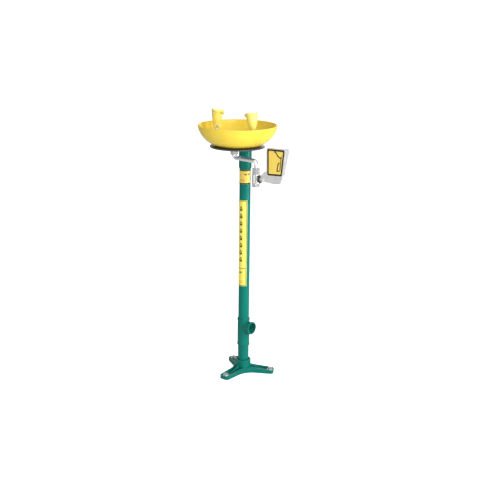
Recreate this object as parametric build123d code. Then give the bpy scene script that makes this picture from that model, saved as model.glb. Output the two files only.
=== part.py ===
from build123d import *
import os
from math import asin, cos, degrees, radians, sin, sqrt, tan

# Pedestal eyewash station: a three-footed cast base, a 1-1/4 in. pipe with a side waste tee,
# a plastic bowl on a steel plate, a chrome yoke with two flip-top spray heads, and a ball
# valve that a push flag turns.
# Frame: origin on the floor on the pedestal's axis, +Z up, the user stands on the -Y side,
# the flag is on the +X side. Millimetres and degrees. Threads are plain cylinders.

# Fits
SLIP = 0.05             # radial clearance of a pipe, thread or tang in its socket
RUNNING = 0.05          # radial clearance of a turning pin or stem in its bore
SEAT_GAP = 0.15         # gap between the ball and its seats
FACE_GAP = 0.3          # gap between faces that slide past each other
LID_GAP = 0.6           # radial gap between a lid's skirt and the head's neck
BOLT_GAP = 0.5          # radial clearance of a fitting in a plate or bowl hole
LABEL_GAP = 0.02        # film of glue under a label

# Pipe, 1-1/4 in. schedule 40
PIPE_R = 21.1
PIPE_WALL = 3.56
PIPE_CHAMFER = 1.0
SOCKET_DEPTH = 17.0

# Floor base
FOOT_COUNT = 3
FOOT_REACH = 121.0      # tip of a foot from the axis
FOOT_HALF_WIDTH = 20.0
FOOT_CORNER_R = 11.0
WAIST_R = 68.0          # radius of the hollow side between two feet
WEB_THICKNESS = 9.0
RIM_WIDTH = 5.0
RIM_TIP_HEIGHT = 13.5
RIM_HUB_HEIGHT = 25.0
GUSSET_THICKNESS = 6.0
GUSSET_TOP = 30.0
HUB_WALL = 8.4
HUB_TOP = 50.0
HUB_RECESS = 3.5        # width of the recess round the pipe
HUB_RECESS_DEPTH = 5.0
ANCHOR_FROM_TIP = 15.0
ANCHOR_FROM_GUSSET = 22.0
ANCHOR_HOLE_R = 5.3
ANCHOR_BOSS_R = 12.5
ANCHOR_BOSS_TOP = 11.0
ANCHOR_R = 4.76         # 3/8 in. floor anchors, which belong to the floor
WASHER_R = 10.5
WASHER_THICKNESS = 1.8
ANCHOR_NUT_FLATS = 14.3
ANCHOR_NUT_HEIGHT = 6.4

# Waste tee
TEE_BOTTOM = 109.5
TEE_HEIGHT = 109.4
TEE_WALL = 2.4
TEE_LIP = 1.0
TEE_LIP_HEIGHT = 7.0
TEE_SHOULDER = 3.6      # step that the pipe's end meets
TEE_WEB = 12.0          # blind floor that keeps waste water out of the lower nipple
BRANCH_RISE = 74.8      # branch axis above the tee's lower end
BRANCH_FACE = 43.0
BRANCH_WALL = 3.1
BRANCH_LIP = 1.8
BRANCH_LIP_WIDTH = 9.0
WASTE_THREAD_R = 20.1
WASTE_THREAD_DEPTH = 17.0
LIP_ROUND = 1.5

# Collar and support plate
COLLAR_LENGTH = 84.5
COLLAR_WALL = 2.7
COLLAR_PIPE_GRIP = 40.0
PLATE_BOTTOM = 892.5
PLATE_THICKNESS = 5.0
PLATE_FROM_RIM = 45.25  # plate's edge inside the bowl's rim
PLATE_ROUND = 1.5

# Bowl
BOWL_RIM_R = 146.0
BOWL_HEIGHT = 76.2
BOWL_WALL = 4.0
BOWL_BEAD_R = 2.5
BOWL_RIM_ANGLE = 10.5   # wall from the vertical at the rim
BOWL_SIDE = 76.45       # flat floor's edge inside the rim
PIPE_FROM_RIM = 99.4    # pipe's axis inside the bowl's rim at the back
DRAIN_PAD_RIM = 2.5
DRAIN_PAD_CUT = 12.0

# Drain
GASKET_THICKNESS = 1.5
DRAIN_TAIL_STEP = 2.1   # tail's radius under the pipe's
DRAIN_TAIL_LENGTH = 34.0
DRAIN_TAIL_WALL = 4.0
DRAIN_FLANGE = 3.5
DRAIN_FLANGE_WIDTH = 7.0
DRAIN_BAR_WIDTH = 8.0
DRAIN_BAR_DEPTH = 5.0
STRAINER_LEDGE = 2.5    # strainer's radius over the tail's
STRAINER_THICKNESS = 1.5
STRAINER_HOLE_R = 2.1
STRAINER_RINGS = ((8.5, 8), (13.8, 14))     # radius and number of holes
STRAINER_SCREW_R = 2.0
STRAINER_SCREW_HEAD_R = 3.8
STRAINER_SCREW_HEAD = 1.6

# Supply shank, nuts and tube
YOKE_FORWARD = 18.4     # shank, tube, valve and heads in front of the bowl's middle
THREAD_WALL = 2.56      # shank's and valve spigot's thread over the tube
SHANK_BORE_STEP = 1.94
SHANK_FLANGE = 4.0
SHANK_FLANGE_WIDTH = 4.5
SHANK_NECK = 11.0       # part of the shank that stands in the yoke tee
SHANK_WASHER_WIDTH = 5.5
LOCKNUT_WALL = 4.5
LOCKNUT_HEIGHT = 5.0
TUBE_NUT_WALL = 2.0
TUBE_NUT_GRIP = 11.0
TUBE_NUT_LAND = 4.0     # unthreaded end of a tube nut
NUT_SPACE = 1.0
TUBE_R = 7.94
TUBE_WALL = 1.2
TUBE_BEND_INSIDE = 4.06
TUBE_DROP = 10.0        # straight tube between its bend and the valve's nut
TUBE_INSERT = 8.0       # length of tube inside the shank and inside the valve
FERRULE_HEIGHT = 3.0
FERRULE_WALL = 1.6

# Ball valve
VALVE_FROM_RIM = 43.0   # valve's axis inside the widest point of the bowl's rim
VALVE_WALL = 3.5
VALVE_END = 6.5         # end of the barrel beyond a seat
VALVE_HEX_WALL = 2.2
VALVE_HEX_HEIGHT = 7.0
VALVE_SPIGOT = 11.0
VALVE_PASSAGE_GAP = 0.1
VALVE_ROUND = 2.5
BALL_R = 9.2
BALL_BORE_R = 5.5
BALL_SPACE = 1.8        # between the ball and the wall round it
SEAT_BACK = 1.3         # seat's outer face beyond the ball
END_CAP_WALL = 2.0
END_CAP_HEIGHT = 13.0
INLET_R = 9.9           # 1/2 in. female pipe thread
INLET_DEPTH = 12.0
STEM_R = 4.0
STEM_FLAT_DEPTH = 1.0
STEM_IN_HUB = 10.0
STEM_FLANGE = 1.2
STEM_FLANGE_WIDTH = 0.8
TANG_WIDTH = 4.0
TANG_DEPTH = 2.6
TANG_SPACE = 0.2
BOSS_WALL = 2.5
BOSS_LAND = 1.6         # between the stem's flange and the packing
PACKING_WIDTH = 2.5
PACKING_LENGTH = 1.7
GLAND_SPIGOT = 0.8
GLAND_WALL = 1.5
GLAND_HEIGHT = 3.0

# Handle, drawn upright on the stem's axis and then leaned back. The arm's and the label's
# outlines are across from the inner face of the arm's hub and up from the stem's axis.
HANDLE_LEAN = 4.0
SPACER_R = 14.5
SPACER_THICKNESS = 3.0
ARM_THICKNESS = 3.0
ARM_HUB_WALL = 3.5
ARM_HUB_LENGTH = 14.0
ARM_CORNER_R = 9.0
ARM_OUTLINE = ((0, -5), (60, -9), (90, -6), (99.5, 22), (85, 44), (40, 44), (14, 27), (0, 14))
SET_SCREW_R = 2.0
LABEL_OUTLINE = ((31.7, 19), (96.7, 23), (102.7, 117), (24.7, 114))
LABEL_CORNER_R = 6.0
LABEL_THICKNESS = 0.4
FLAG_GAUGE = 1.5
FLAG_MARGIN = 4.0
FLANGE_TOP_DEPTH = 23.0
FLANGE_FOOT_DEPTH = 8.0
FLANGE_START = 25.0     # flanges begin this high above the stem's axis
FLANGE_INNER_START = 50.0   # and the one nearest the valve this high, to clear the arm
RIVET_R = 2.5
RIVET_HEAD_R = 4.5
RIVET_HEAD = 1.8
RIVET_SPACING = 26.0
RIVET_HEIGHT = 34.0

# Yoke
YOKE_RISE = 32.5        # yoke's axis above the bowl's floor
YOKE_TEE_WALL = 2.5
YOKE_TEE_CAP = 2.0      # top of the tee above its side sockets
YOKE_TEE_SIDE = 7.0     # side sockets beyond the tee's post
YOKE_SOCKET = 11.0
YOKE_SOCKET_WALL = 4.0
ARM_TUBE_R = 8.0
ARM_TUBE_WALL = 2.5
ELBOW_WALL = 2.0
ELBOW_BEND_INSIDE = 3.0
HEAD_NUT_WALL = 3.0
HEAD_NUT_HEIGHT = 9.0

# Spray heads, each drawn on its own axis from its base, with its hinge on the -X side
HEAD_FROM_RIM = 60.0    # head's axis inside the widest point of the bowl's rim
HEAD_RISE = 33.0        # base of a head above the yoke's axis
HEAD_LEAN = 6.5
HEAD_LENGTH = 60.0
HEAD_TOP_R = 23.2
HEAD_BASE_WALL = 3.7
HEAD_KNEE = 25.0        # height where the steep lower taper ends
HEAD_UPPER_TAPER = 5.1  # growth in radius from the knee to the top
HEAD_KNEE_ROUND = 60.0
HEAD_WALL = 2.0
HEAD_SOCKET = 11.0
HEAD_THROAT = 6.0
HEAD_THROAT_STEP = 2.0
HEAD_CHAMBER_DEPTH = 13.5
LID_HEIGHT = 10.0
LID_THICKNESS = 3.5
LID_SKIRT = 1.7
LID_SEAM = 0.5
LID_ROUND = 1.6
REGULATOR_THICKNESS = 2.5
REGULATOR_HOLE_R = 2.5
FILTER_THICKNESS = 5.0
SCREEN_THICKNESS = 2.0
SCREEN_HOLE_R = 0.9
SCREEN_RING_START = 5.0
SCREEN_RING_STEP = 4.5
SCREEN_RING_HOLES = 6   # holes in the first ring, and more in each ring after it
SCREEN_MARGIN = 2.5
HINGE_RISE = 2.0        # hinge above the head's shoulder
KNUCKLE_R = 3.2
KNUCKLE_WIDTH = 7.0
EAR_WIDTH = 3.6
EAR_DROP = 12.0
LID_PIN_R = 1.25

# Labels on the pedestal, centred on the user's side
SIGN_DROP = 4.0         # sign's top below the collar
SIGN_HEIGHT = 54.0
SIGN_ANGLE = 230.0
STRIP_DROP = 62.0       # strip's top below the sign
STRIP_RISE = 134.1      # strip's foot above the tee
STRIP_ANGLE = 130.0

# Radii and places that follow from the sizes above
ANCHOR_CIRCLE_R = FOOT_REACH - ANCHOR_FROM_TIP
GUSSET_REACH = ANCHOR_CIRCLE_R - ANCHOR_FROM_GUSSET
HUB_R = PIPE_R + HUB_WALL
HUB_RECESS_R = PIPE_R + HUB_RECESS
TEE_R = PIPE_R + TEE_WALL
TEE_LIP_R = TEE_R + TEE_LIP
TEE_PASSAGE_R = PIPE_R - TEE_SHOULDER
BRANCH_R = WASTE_THREAD_R + BRANCH_WALL
BRANCH_LIP_R = BRANCH_R + BRANCH_LIP
COLLAR_R = PIPE_R + COLLAR_WALL
PLATE_R = BOWL_RIM_R - PLATE_FROM_RIM
BOWL_FOOT_R = BOWL_RIM_R - BOWL_SIDE
BOWL_OFFSET = BOWL_RIM_R - PIPE_FROM_RIM    # bowl and plate stand this far in front of the pipe
DRAIN_TAIL_R = PIPE_R - DRAIN_TAIL_STEP
DRAIN_BORE_R = DRAIN_TAIL_R - DRAIN_TAIL_WALL
DRAIN_FLANGE_R = DRAIN_TAIL_R + DRAIN_FLANGE_WIDTH
STRAINER_R = DRAIN_TAIL_R + STRAINER_LEDGE
YOKE_Y = -(BOWL_OFFSET + YOKE_FORWARD)
THREAD_R = TUBE_R + THREAD_WALL
SHANK_BORE_R = TUBE_R - SHANK_BORE_STEP
SHANK_FLANGE_R = THREAD_R + SHANK_FLANGE_WIDTH
SHANK_WASHER_R = THREAD_R + SHANK_WASHER_WIDTH
LOCKNUT_FLATS = 2 * (THREAD_R + LOCKNUT_WALL)
TUBE_NUT_FLATS = 2 * (THREAD_R + TUBE_NUT_WALL)
TUBE_BEND_R = TUBE_R + TUBE_BEND_INSIDE
VALVE_X = BOWL_RIM_R - VALVE_FROM_RIM
VALVE_CAVITY_R = BALL_R + BALL_SPACE
VALVE_R = VALVE_CAVITY_R + VALVE_WALL
VALVE_HEX = 2 * (THREAD_R + VALVE_HEX_WALL)
VALVE_PASSAGE_R = BALL_BORE_R + VALVE_PASSAGE_GAP
END_CAP_HEX = 2 * (VALVE_CAVITY_R + END_CAP_WALL)
PACKING_R = STEM_R + PACKING_WIDTH
BOSS_R = PACKING_R + BOSS_WALL
GLAND_FLATS = 2 * (PACKING_R + GLAND_WALL)
STEM_FLATS = 2 * (STEM_R - STEM_FLAT_DEPTH)
ARM_HUB_R = STEM_R + ARM_HUB_WALL
ARM_BORE_R = ARM_TUBE_R - ARM_TUBE_WALL
YOKE_TEE_R = THREAD_R + YOKE_TEE_WALL
YOKE_TEE_REACH = YOKE_TEE_R + YOKE_TEE_SIDE
YOKE_SOCKET_R = ARM_TUBE_R + YOKE_SOCKET_WALL
ELBOW_R = ARM_TUBE_R + ELBOW_WALL
ELBOW_BEND_R = ELBOW_R + ELBOW_BEND_INSIDE
HEAD_NUT_FLATS = 2 * (ARM_TUBE_R + HEAD_NUT_WALL)
HEAD_X = BOWL_RIM_R - HEAD_FROM_RIM
HEAD_BASE_R = ARM_TUBE_R + HEAD_BASE_WALL
HEAD_THROAT_R = ARM_TUBE_R - HEAD_THROAT_STEP
HEAD_SHOULDER = HEAD_LENGTH - LID_HEIGHT
HEAD_RIM = HEAD_LENGTH - LID_THICKNESS
HEAD_CHAMBER = HEAD_RIM - HEAD_CHAMBER_DEPTH

# Sizes and places along the valve's stem, from the valve's axis
STEM_FLANGE_R = STEM_R + STEM_FLANGE_WIDTH
SEAT_START = STEM_FLANGE_R + TANG_SPACE
SEAT_END = BALL_R + SEAT_BACK
STEM_START = BALL_R + TANG_SPACE
PACKING_START = STEM_START + STEM_FLANGE + FACE_GAP + BOSS_LAND
BOSS_LENGTH = PACKING_START + PACKING_LENGTH + GLAND_SPIGOT
SPACER_START = BOSS_LENGTH + GLAND_HEIGHT + FACE_GAP
HUB_START = SPACER_START + SPACER_THICKNESS
STEM_END = HUB_START + STEM_IN_HUB

# Heights
TEE_TOP = TEE_BOTTOM + TEE_HEIGHT
BRANCH_Z = TEE_BOTTOM + BRANCH_RISE
NIPPLE_BOTTOM = HUB_TOP - HUB_RECESS_DEPTH - SOCKET_DEPTH
NIPPLE_TOP = TEE_BOTTOM + SOCKET_DEPTH
PIPE_BOTTOM = TEE_TOP - SOCKET_DEPTH
COLLAR_BOTTOM = PLATE_BOTTOM - COLLAR_LENGTH
PIPE_TOP = COLLAR_BOTTOM + COLLAR_PIPE_GRIP
PLATE_TOP = PLATE_BOTTOM + PLATE_THICKNESS
BOWL_FLOOR = PLATE_TOP + BOWL_WALL
GASKET_TOP = BOWL_FLOOR + GASKET_THICKNESS
DRAIN_TOP = GASKET_TOP + DRAIN_FLANGE
STRAINER_SEAT = DRAIN_TOP - STRAINER_THICKNESS
TAIL_BOTTOM = GASKET_TOP - DRAIN_TAIL_LENGTH
SHANK_SHOULDER = GASKET_TOP + SHANK_FLANGE
SHANK_TOP = SHANK_SHOULDER + SHANK_NECK
LOCKNUT_TOP = PLATE_BOTTOM - GASKET_THICKNESS
SHANK_BOTTOM = LOCKNUT_TOP - LOCKNUT_HEIGHT - NUT_SPACE - TUBE_NUT_GRIP
RUN_Z = SHANK_BOTTOM - FERRULE_HEIGHT - TUBE_NUT_LAND - TUBE_BEND_R
SPIGOT_TOP = RUN_Z - TUBE_BEND_R - TUBE_DROP - TUBE_NUT_LAND - FERRULE_HEIGHT
VALVE_SHOULDER = SPIGOT_TOP - VALVE_SPIGOT - VALVE_HEX_HEIGHT
STEM_Z = VALVE_SHOULDER - SEAT_END - VALVE_END
CAP_TOP = STEM_Z - SEAT_END - VALVE_END
INLET_Z = CAP_TOP - END_CAP_HEIGHT
YOKE_Z = BOWL_FLOOR + YOKE_RISE
HEAD_Z = YOKE_Z + HEAD_RISE
SIGN_TOP = COLLAR_BOTTOM - SIGN_DROP
SIGN_BOTTOM = SIGN_TOP - SIGN_HEIGHT
STRIP_TOP = SIGN_BOTTOM - STRIP_DROP
STRIP_BOTTOM = TEE_TOP + STRIP_RISE

# Depths through the handle, front to back, with the stem's axis at 0
ARM_FRONT = -ARM_THICKNESS / 2
ARM_BACK = ARM_THICKNESS / 2
FLAG_FRONT = ARM_FRONT - FLAG_GAUGE

FROM_BASE = (Align.CENTER, Align.CENTER, Align.MIN)
TO_X = Rot(0, 90, 0)    # lays the Z axis along +X
TO_Y = Rot(-90, 0, 0)   # lays the Z axis along +Y


def upper_r(height):
    """Outer radius of a spray head at a height above its knee."""
    return HEAD_TOP_R - HEAD_UPPER_TAPER * (HEAD_LENGTH - height) / (HEAD_LENGTH - HEAD_KNEE)


NECK_R = upper_r(HEAD_SHOULDER) - LID_SKIRT - LID_GAP
CHAMBER_R = NECK_R - HEAD_WALL
HINGE_X = -(upper_r(HEAD_RIM) + KNUCKLE_R + FACE_GAP)
HINGE_Z = HEAD_SHOULDER + HINGE_RISE


# Shapes that many pieces share

def rod(radius, bottom, top):
    """Round bar on the Z axis."""
    return Pos(0, 0, bottom) * Cylinder(radius, top - bottom, align=FROM_BASE)


def ring(outer, inner, bottom, top):
    """Round sleeve or washer on the Z axis."""
    return rod(outer, bottom, top) - rod(inner, bottom, top)


def taper(bottom_r, top_r, bottom, top):
    """Round taper on the Z axis."""
    return Pos(0, 0, bottom) * Cone(bottom_r, top_r, top - bottom, align=FROM_BASE)


def hexagon(flats, bottom, top):
    """Hexagonal bar on the Z axis with its corners turned down at both ends."""
    bar = Pos(0, 0, bottom) * extrude(RegularPolygon(flats / 2, 6, major_radius=False), top - bottom)
    corner_r = flats / sqrt(3)
    turned_r = flats / 2
    turned = (corner_r - turned_r) / sqrt(3)
    barrel = rod(corner_r, bottom + turned, top - turned)
    barrel += taper(turned_r, corner_r, bottom, bottom + turned)
    barrel += taper(corner_r, turned_r, top - turned, top)
    return bar & barrel


def section(*corners):
    """Straight-sided face in the XZ plane."""
    return Plane.XZ * Polygon(*corners, align=None)


def around(shape, count, start=0.0):
    """The same shape repeated about the Z axis."""
    return [Rot(0, 0, start + 360 * turn / count) * shape for turn in range(count)]


def hole_rings(rings, hole_r, bottom, top):
    """Round holes on rings about the Z axis."""
    holes = []
    for radius, count in rings:
        holes += around(Pos(radius, 0, 0) * rod(hole_r, bottom, top), count)
    return holes


def round_edges(solid, radius, edge_r, height):
    """The solid with its circular edge of one radius at one height rounded."""
    rim = [
        edge
        for edge in solid.edges().filter_by(GeomType.CIRCLE)
        if abs(edge.radius - edge_r) < 0.01 and abs(edge.center().Z - height) < 0.01
    ]
    return fillet(rim, radius)


def swept(path, radius):
    """Round bar along a path."""
    start = Plane(origin=path @ 0, z_dir=path % 0)
    return sweep(start * Circle(radius), path=path)


# Pedestal

def at_feet(shape):
    """A shape drawn on the Z axis, placed at each foot's anchor hole."""
    return around(Pos(0, -ANCHOR_CIRCLE_R, 0) * shape, FOOT_COUNT)


def base_star():
    """Outline of the base: straight feet with rounded tips, joined by hollow sides."""
    foot = Pos(0, -FOOT_REACH / 2) * Rectangle(2 * FOOT_HALF_WIDTH, FOOT_REACH)
    star = Sketch() + around(foot, FOOT_COUNT)
    tips = [corner for corner in star.vertices() if Vector(corner).length > FOOT_REACH * 0.9]
    star = fillet(tips, FOOT_CORNER_R)
    crotches = [corner for corner in star.vertices() if Vector(corner).length < FOOT_HALF_WIDTH * 1.5]
    return fillet(crotches, WAIST_R)


def floor_base():
    """Cast base: a web with raised rims, a gusset on each foot and a hub for the pipe."""
    star = base_star()
    rim_fall = RIM_HUB_HEIGHT - RIM_TIP_HEIGHT
    far = 1.2
    far_height = RIM_HUB_HEIGHT - far * rim_fall
    envelope = section((0, 0), (far * FOOT_REACH, 0), (far * FOOT_REACH, far_height), (0, RIM_HUB_HEIGHT))
    rim = extrude(star - offset(star, amount=-RIM_WIDTH), RIM_HUB_HEIGHT) & revolve(envelope, Axis.Z)
    foot_end = (GUSSET_REACH, WEB_THICKNESS)
    gusset = section((0, 0), (GUSSET_REACH, 0), foot_end, (HUB_R, GUSSET_TOP), (0, GUSSET_TOP))
    gusset = extrude(gusset, GUSSET_THICKNESS / 2, both=True)
    hub = round_edges(rod(HUB_R, 0, HUB_TOP), LIP_ROUND, HUB_R, HUB_TOP)
    base = extrude(star, WEB_THICKNESS) + rim + around(gusset, FOOT_COUNT, -90) + hub
    base += at_feet(rod(ANCHOR_BOSS_R, 0, ANCHOR_BOSS_TOP))
    base -= rod(HUB_RECESS_R, HUB_TOP - HUB_RECESS_DEPTH, HUB_TOP)
    base -= rod(PIPE_R + SLIP, NIPPLE_BOTTOM, HUB_TOP)
    base -= rod(PIPE_R - PIPE_WALL, 0, NIPPLE_BOTTOM)
    clear_top = at_feet(rod(WASHER_R + BOLT_GAP, ANCHOR_BOSS_TOP, HUB_TOP))
    return base - clear_top - at_feet(rod(ANCHOR_HOLE_R, 0, HUB_TOP))


def anchor_washers():
    """A washer on each foot's boss, open for the floor's anchor."""
    washer = ring(WASHER_R, ANCHOR_HOLE_R, ANCHOR_BOSS_TOP, ANCHOR_BOSS_TOP + WASHER_THICKNESS)
    return Compound(children=at_feet(washer))


def anchor_nuts():
    """A hexagonal nut on each washer, open for the floor's anchor."""
    seat = ANCHOR_BOSS_TOP + WASHER_THICKNESS
    nut = hexagon(ANCHOR_NUT_FLATS, seat, seat + ANCHOR_NUT_HEIGHT)
    nut -= rod(ANCHOR_R + SLIP, seat, seat + ANCHOR_NUT_HEIGHT)
    return Compound(children=at_feet(nut))


def pipe(bottom, top):
    """Length of pedestal pipe with its outer ends chamfered."""
    length = rod(PIPE_R, bottom, top)
    length = chamfer(length.edges().filter_by(GeomType.CIRCLE), PIPE_CHAMFER)
    return length - rod(PIPE_R - PIPE_WALL, bottom, top)


def waste_tee():
    """Tee with a pipe socket at each end, a blind floor and a female waste outlet towards +X."""
    lower_lip = rod(TEE_LIP_R, TEE_BOTTOM, TEE_BOTTOM + TEE_LIP_HEIGHT)
    lower_lip = round_edges(lower_lip, LIP_ROUND, TEE_LIP_R, TEE_BOTTOM)
    upper_lip = rod(TEE_LIP_R, TEE_TOP - TEE_LIP_HEIGHT, TEE_TOP)
    upper_lip = round_edges(upper_lip, LIP_ROUND, TEE_LIP_R, TEE_TOP)
    branch_lip = rod(BRANCH_LIP_R, BRANCH_FACE - BRANCH_LIP_WIDTH, BRANCH_FACE)
    branch = rod(BRANCH_R, 0, BRANCH_FACE) + round_edges(branch_lip, LIP_ROUND, BRANCH_LIP_R, BRANCH_FACE)
    branch_bore = rod(TEE_PASSAGE_R, 0, BRANCH_FACE)
    branch_bore += rod(WASTE_THREAD_R, BRANCH_FACE - WASTE_THREAD_DEPTH, BRANCH_FACE)
    tee = rod(TEE_R, TEE_BOTTOM, TEE_TOP) + lower_lip + upper_lip
    tee += Pos(0, 0, BRANCH_Z) * TO_X * branch
    tee -= rod(PIPE_R + SLIP, TEE_BOTTOM, NIPPLE_TOP)
    tee -= rod(TEE_PASSAGE_R, NIPPLE_TOP + TEE_WEB, PIPE_BOTTOM)
    tee -= rod(PIPE_R + SLIP, PIPE_BOTTOM, TEE_TOP)
    return tee - Pos(0, 0, BRANCH_Z) * TO_X * branch_bore


def mounting_collar():
    """Sleeve that carries the support plate: the pipe screws in below and the drain above."""
    collar = rod(COLLAR_R, COLLAR_BOTTOM, PLATE_BOTTOM)
    collar = round_edges(collar, LIP_ROUND, COLLAR_R, COLLAR_BOTTOM)
    collar -= rod(PIPE_R + SLIP, COLLAR_BOTTOM, PIPE_TOP)
    collar -= rod(DRAIN_BORE_R, PIPE_TOP, TAIL_BOTTOM)
    return collar - rod(DRAIN_TAIL_R + SLIP, TAIL_BOTTOM, PLATE_BOTTOM)


def support_plate():
    """Round steel plate under the bowl, offset towards the user."""
    plate = rod(PLATE_R, PLATE_BOTTOM, PLATE_TOP)
    plate = Pos(0, -BOWL_OFFSET, 0) * fillet(plate.edges().filter_by(GeomType.CIRCLE), PLATE_ROUND)
    plate -= rod(DRAIN_TAIL_R + BOLT_GAP, PLATE_BOTTOM, PLATE_TOP)
    return plate - Pos(0, YOKE_Y, 0) * rod(THREAD_R + BOLT_GAP, PLATE_BOTTOM, PLATE_TOP)


def pole_wrap(bottom, top, angle):
    """Thin label wrapped on the pipe and centred on the user's side."""
    inner_r = PIPE_R + LABEL_GAP
    outer_r = inner_r + LABEL_THICKNESS
    edge = section((inner_r, bottom), (outer_r, bottom), (outer_r, top), (inner_r, top))
    return Rot(0, 0, -90 - angle / 2) * revolve(edge, Axis.Z, angle)


# Bowl and drain

def bowl():
    """Round bowl: a flat floor, sides on one arc, a rim bead and a flat pad for the drain."""
    rim_angle = radians(BOWL_RIM_ANGLE)
    half_wall = BOWL_WALL / 2
    arc_height = BOWL_HEIGHT - BOWL_BEAD_R - half_wall * sin(rim_angle)
    arc_width = BOWL_RIM_R - BOWL_BEAD_R + half_wall * cos(rim_angle) - BOWL_FOOT_R
    lean = arc_width * cos(rim_angle) - arc_height * sin(rim_angle)
    outer_r = (arc_width**2 + arc_height**2) / (2 * lean)
    inner_r = outer_r - BOWL_WALL
    middle_r = outer_r - half_wall
    rim_z = PLATE_TOP + arc_height
    centre = (BOWL_FOOT_R + arc_width - outer_r * cos(rim_angle), rim_z + outer_r * sin(rim_angle))
    outer_foot = degrees(asin((centre[1] - PLATE_TOP) / outer_r))
    inner_foot = degrees(asin((centre[1] - BOWL_FLOOR) / inner_r))
    outside = CenterArc(centre, outer_r, -outer_foot, outer_foot - BOWL_RIM_ANGLE)
    inside = CenterArc(centre, inner_r, -inner_foot, inner_foot - BOWL_RIM_ANGLE)
    outline = Curve() + [
        outside,
        Line(outside @ 1, inside @ 1),
        inside,
        Polyline(inside @ 0, (0, BOWL_FLOOR), (0, PLATE_TOP), outside @ 0),
    ]
    bead_at = Pos(centre[0] + middle_r * cos(rim_angle), centre[1] - middle_r * sin(rim_angle))
    shell = revolve(Plane.XZ * make_face(outline), Axis.Z)
    shell += revolve(Plane.XZ * bead_at * Circle(BOWL_BEAD_R), Axis.Z)
    pad_r = DRAIN_FLANGE_R + BOLT_GAP
    shell = Pos(0, -BOWL_OFFSET, 0) * shell + rod(pad_r + DRAIN_PAD_RIM, PLATE_TOP, BOWL_FLOOR)
    shell -= rod(pad_r, BOWL_FLOOR, BOWL_FLOOR + DRAIN_PAD_CUT)
    shell -= rod(DRAIN_TAIL_R + BOLT_GAP, PLATE_TOP, BOWL_FLOOR)
    return shell - Pos(0, YOKE_Y, 0) * rod(THREAD_R + BOLT_GAP, PLATE_TOP, BOWL_FLOOR)


def drain_body():
    """Drain: a flange in the bowl, a tail screwed into the collar and a bar for the strainer."""
    drain = rod(DRAIN_FLANGE_R, GASKET_TOP, DRAIN_TOP)
    drain = round_edges(drain, LIP_ROUND, DRAIN_FLANGE_R, DRAIN_TOP)
    drain += rod(DRAIN_TAIL_R, TAIL_BOTTOM, GASKET_TOP)
    drain -= rod(DRAIN_BORE_R, TAIL_BOTTOM, DRAIN_TOP)
    drain -= rod(STRAINER_R + SLIP, STRAINER_SEAT, DRAIN_TOP)
    bar_block = Box(2 * DRAIN_TAIL_R, DRAIN_BAR_WIDTH, DRAIN_BAR_DEPTH, align=FROM_BASE)
    bar = Pos(0, 0, STRAINER_SEAT - DRAIN_BAR_DEPTH) * bar_block
    bar = bar & rod((DRAIN_BORE_R + DRAIN_TAIL_R) / 2, TAIL_BOTTOM, DRAIN_TOP)
    return drain + bar - rod(STRAINER_SCREW_R + SLIP, STRAINER_SEAT - DRAIN_BAR_DEPTH, STRAINER_SEAT)


def drain_strainer():
    """Perforated disc in the drain's flange."""
    disc = ring(STRAINER_R, STRAINER_SCREW_R + SLIP, STRAINER_SEAT, DRAIN_TOP)
    return disc - hole_rings(STRAINER_RINGS, STRAINER_HOLE_R, STRAINER_SEAT, DRAIN_TOP)


def strainer_screw():
    """Slotted screw that holds the strainer to the drain's bar."""
    head_top = DRAIN_TOP + STRAINER_SCREW_HEAD
    screw = rod(STRAINER_SCREW_HEAD_R, DRAIN_TOP, head_top)
    screw = round_edges(screw, STRAINER_SCREW_HEAD / 2, STRAINER_SCREW_HEAD_R, head_top)
    slot = Pos(0, 0, head_top) * Box(2 * STRAINER_SCREW_HEAD_R, 1.0, STRAINER_SCREW_HEAD)
    return screw - slot + rod(STRAINER_SCREW_R, STRAINER_SEAT - DRAIN_BAR_DEPTH, DRAIN_TOP)


# Supply

def at_shank(shape):
    """A shape drawn on the Z axis, placed on the supply shank's axis."""
    return Pos(0, YOKE_Y, 0) * shape


def at_valve(shape):
    """A shape drawn on the Z axis, placed on the valve's axis."""
    return Pos(VALVE_X, YOKE_Y, 0) * shape


def supply_shank():
    """Threaded shank through the bowl and the plate, with a flange in the bowl."""
    shank = rod(SHANK_FLANGE_R, GASKET_TOP, SHANK_SHOULDER)
    shank = round_edges(shank, LIP_ROUND, SHANK_FLANGE_R, SHANK_SHOULDER)
    shank += rod(THREAD_R, SHANK_BOTTOM, SHANK_TOP)
    shank -= rod(SHANK_BORE_R, SHANK_BOTTOM, SHANK_TOP)
    return shank - rod(TUBE_R + SLIP, SHANK_BOTTOM, SHANK_BOTTOM + TUBE_INSERT)


def shank_locknut():
    """Nut that clamps the plate and the bowl between a washer and the shank's flange."""
    nut = hexagon(LOCKNUT_FLATS, LOCKNUT_TOP - LOCKNUT_HEIGHT, LOCKNUT_TOP)
    return nut - rod(THREAD_R + SLIP, LOCKNUT_TOP - LOCKNUT_HEIGHT, LOCKNUT_TOP)


def tube_nut():
    """Compression nut: its thread ends at 0 and its land is above the ferrule."""
    top = FERRULE_HEIGHT + TUBE_NUT_LAND
    nut = hexagon(TUBE_NUT_FLATS, -TUBE_NUT_GRIP, top)
    nut -= rod(THREAD_R + SLIP, -TUBE_NUT_GRIP, FERRULE_HEIGHT)
    return nut - rod(TUBE_R + SLIP, FERRULE_HEIGHT, top)


def at_shank_end(shape):
    """A shape drawn upwards from a thread's end, hung under the shank."""
    return at_shank(Pos(0, 0, SHANK_BOTTOM) * Rot(180, 0, 0) * shape)


def at_spigot_end(shape):
    """A shape drawn upwards from a thread's end, stood on the valve's spigot."""
    return at_valve(Pos(0, 0, SPIGOT_TOP) * shape)


def tube_ferrules():
    """The two compression rings, one in each tube nut."""
    ferrule = ring(TUBE_R + FERRULE_WALL, TUBE_R + SLIP, 0, FERRULE_HEIGHT)
    return Compound(children=[at_shank_end(ferrule), at_spigot_end(ferrule)])


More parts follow.
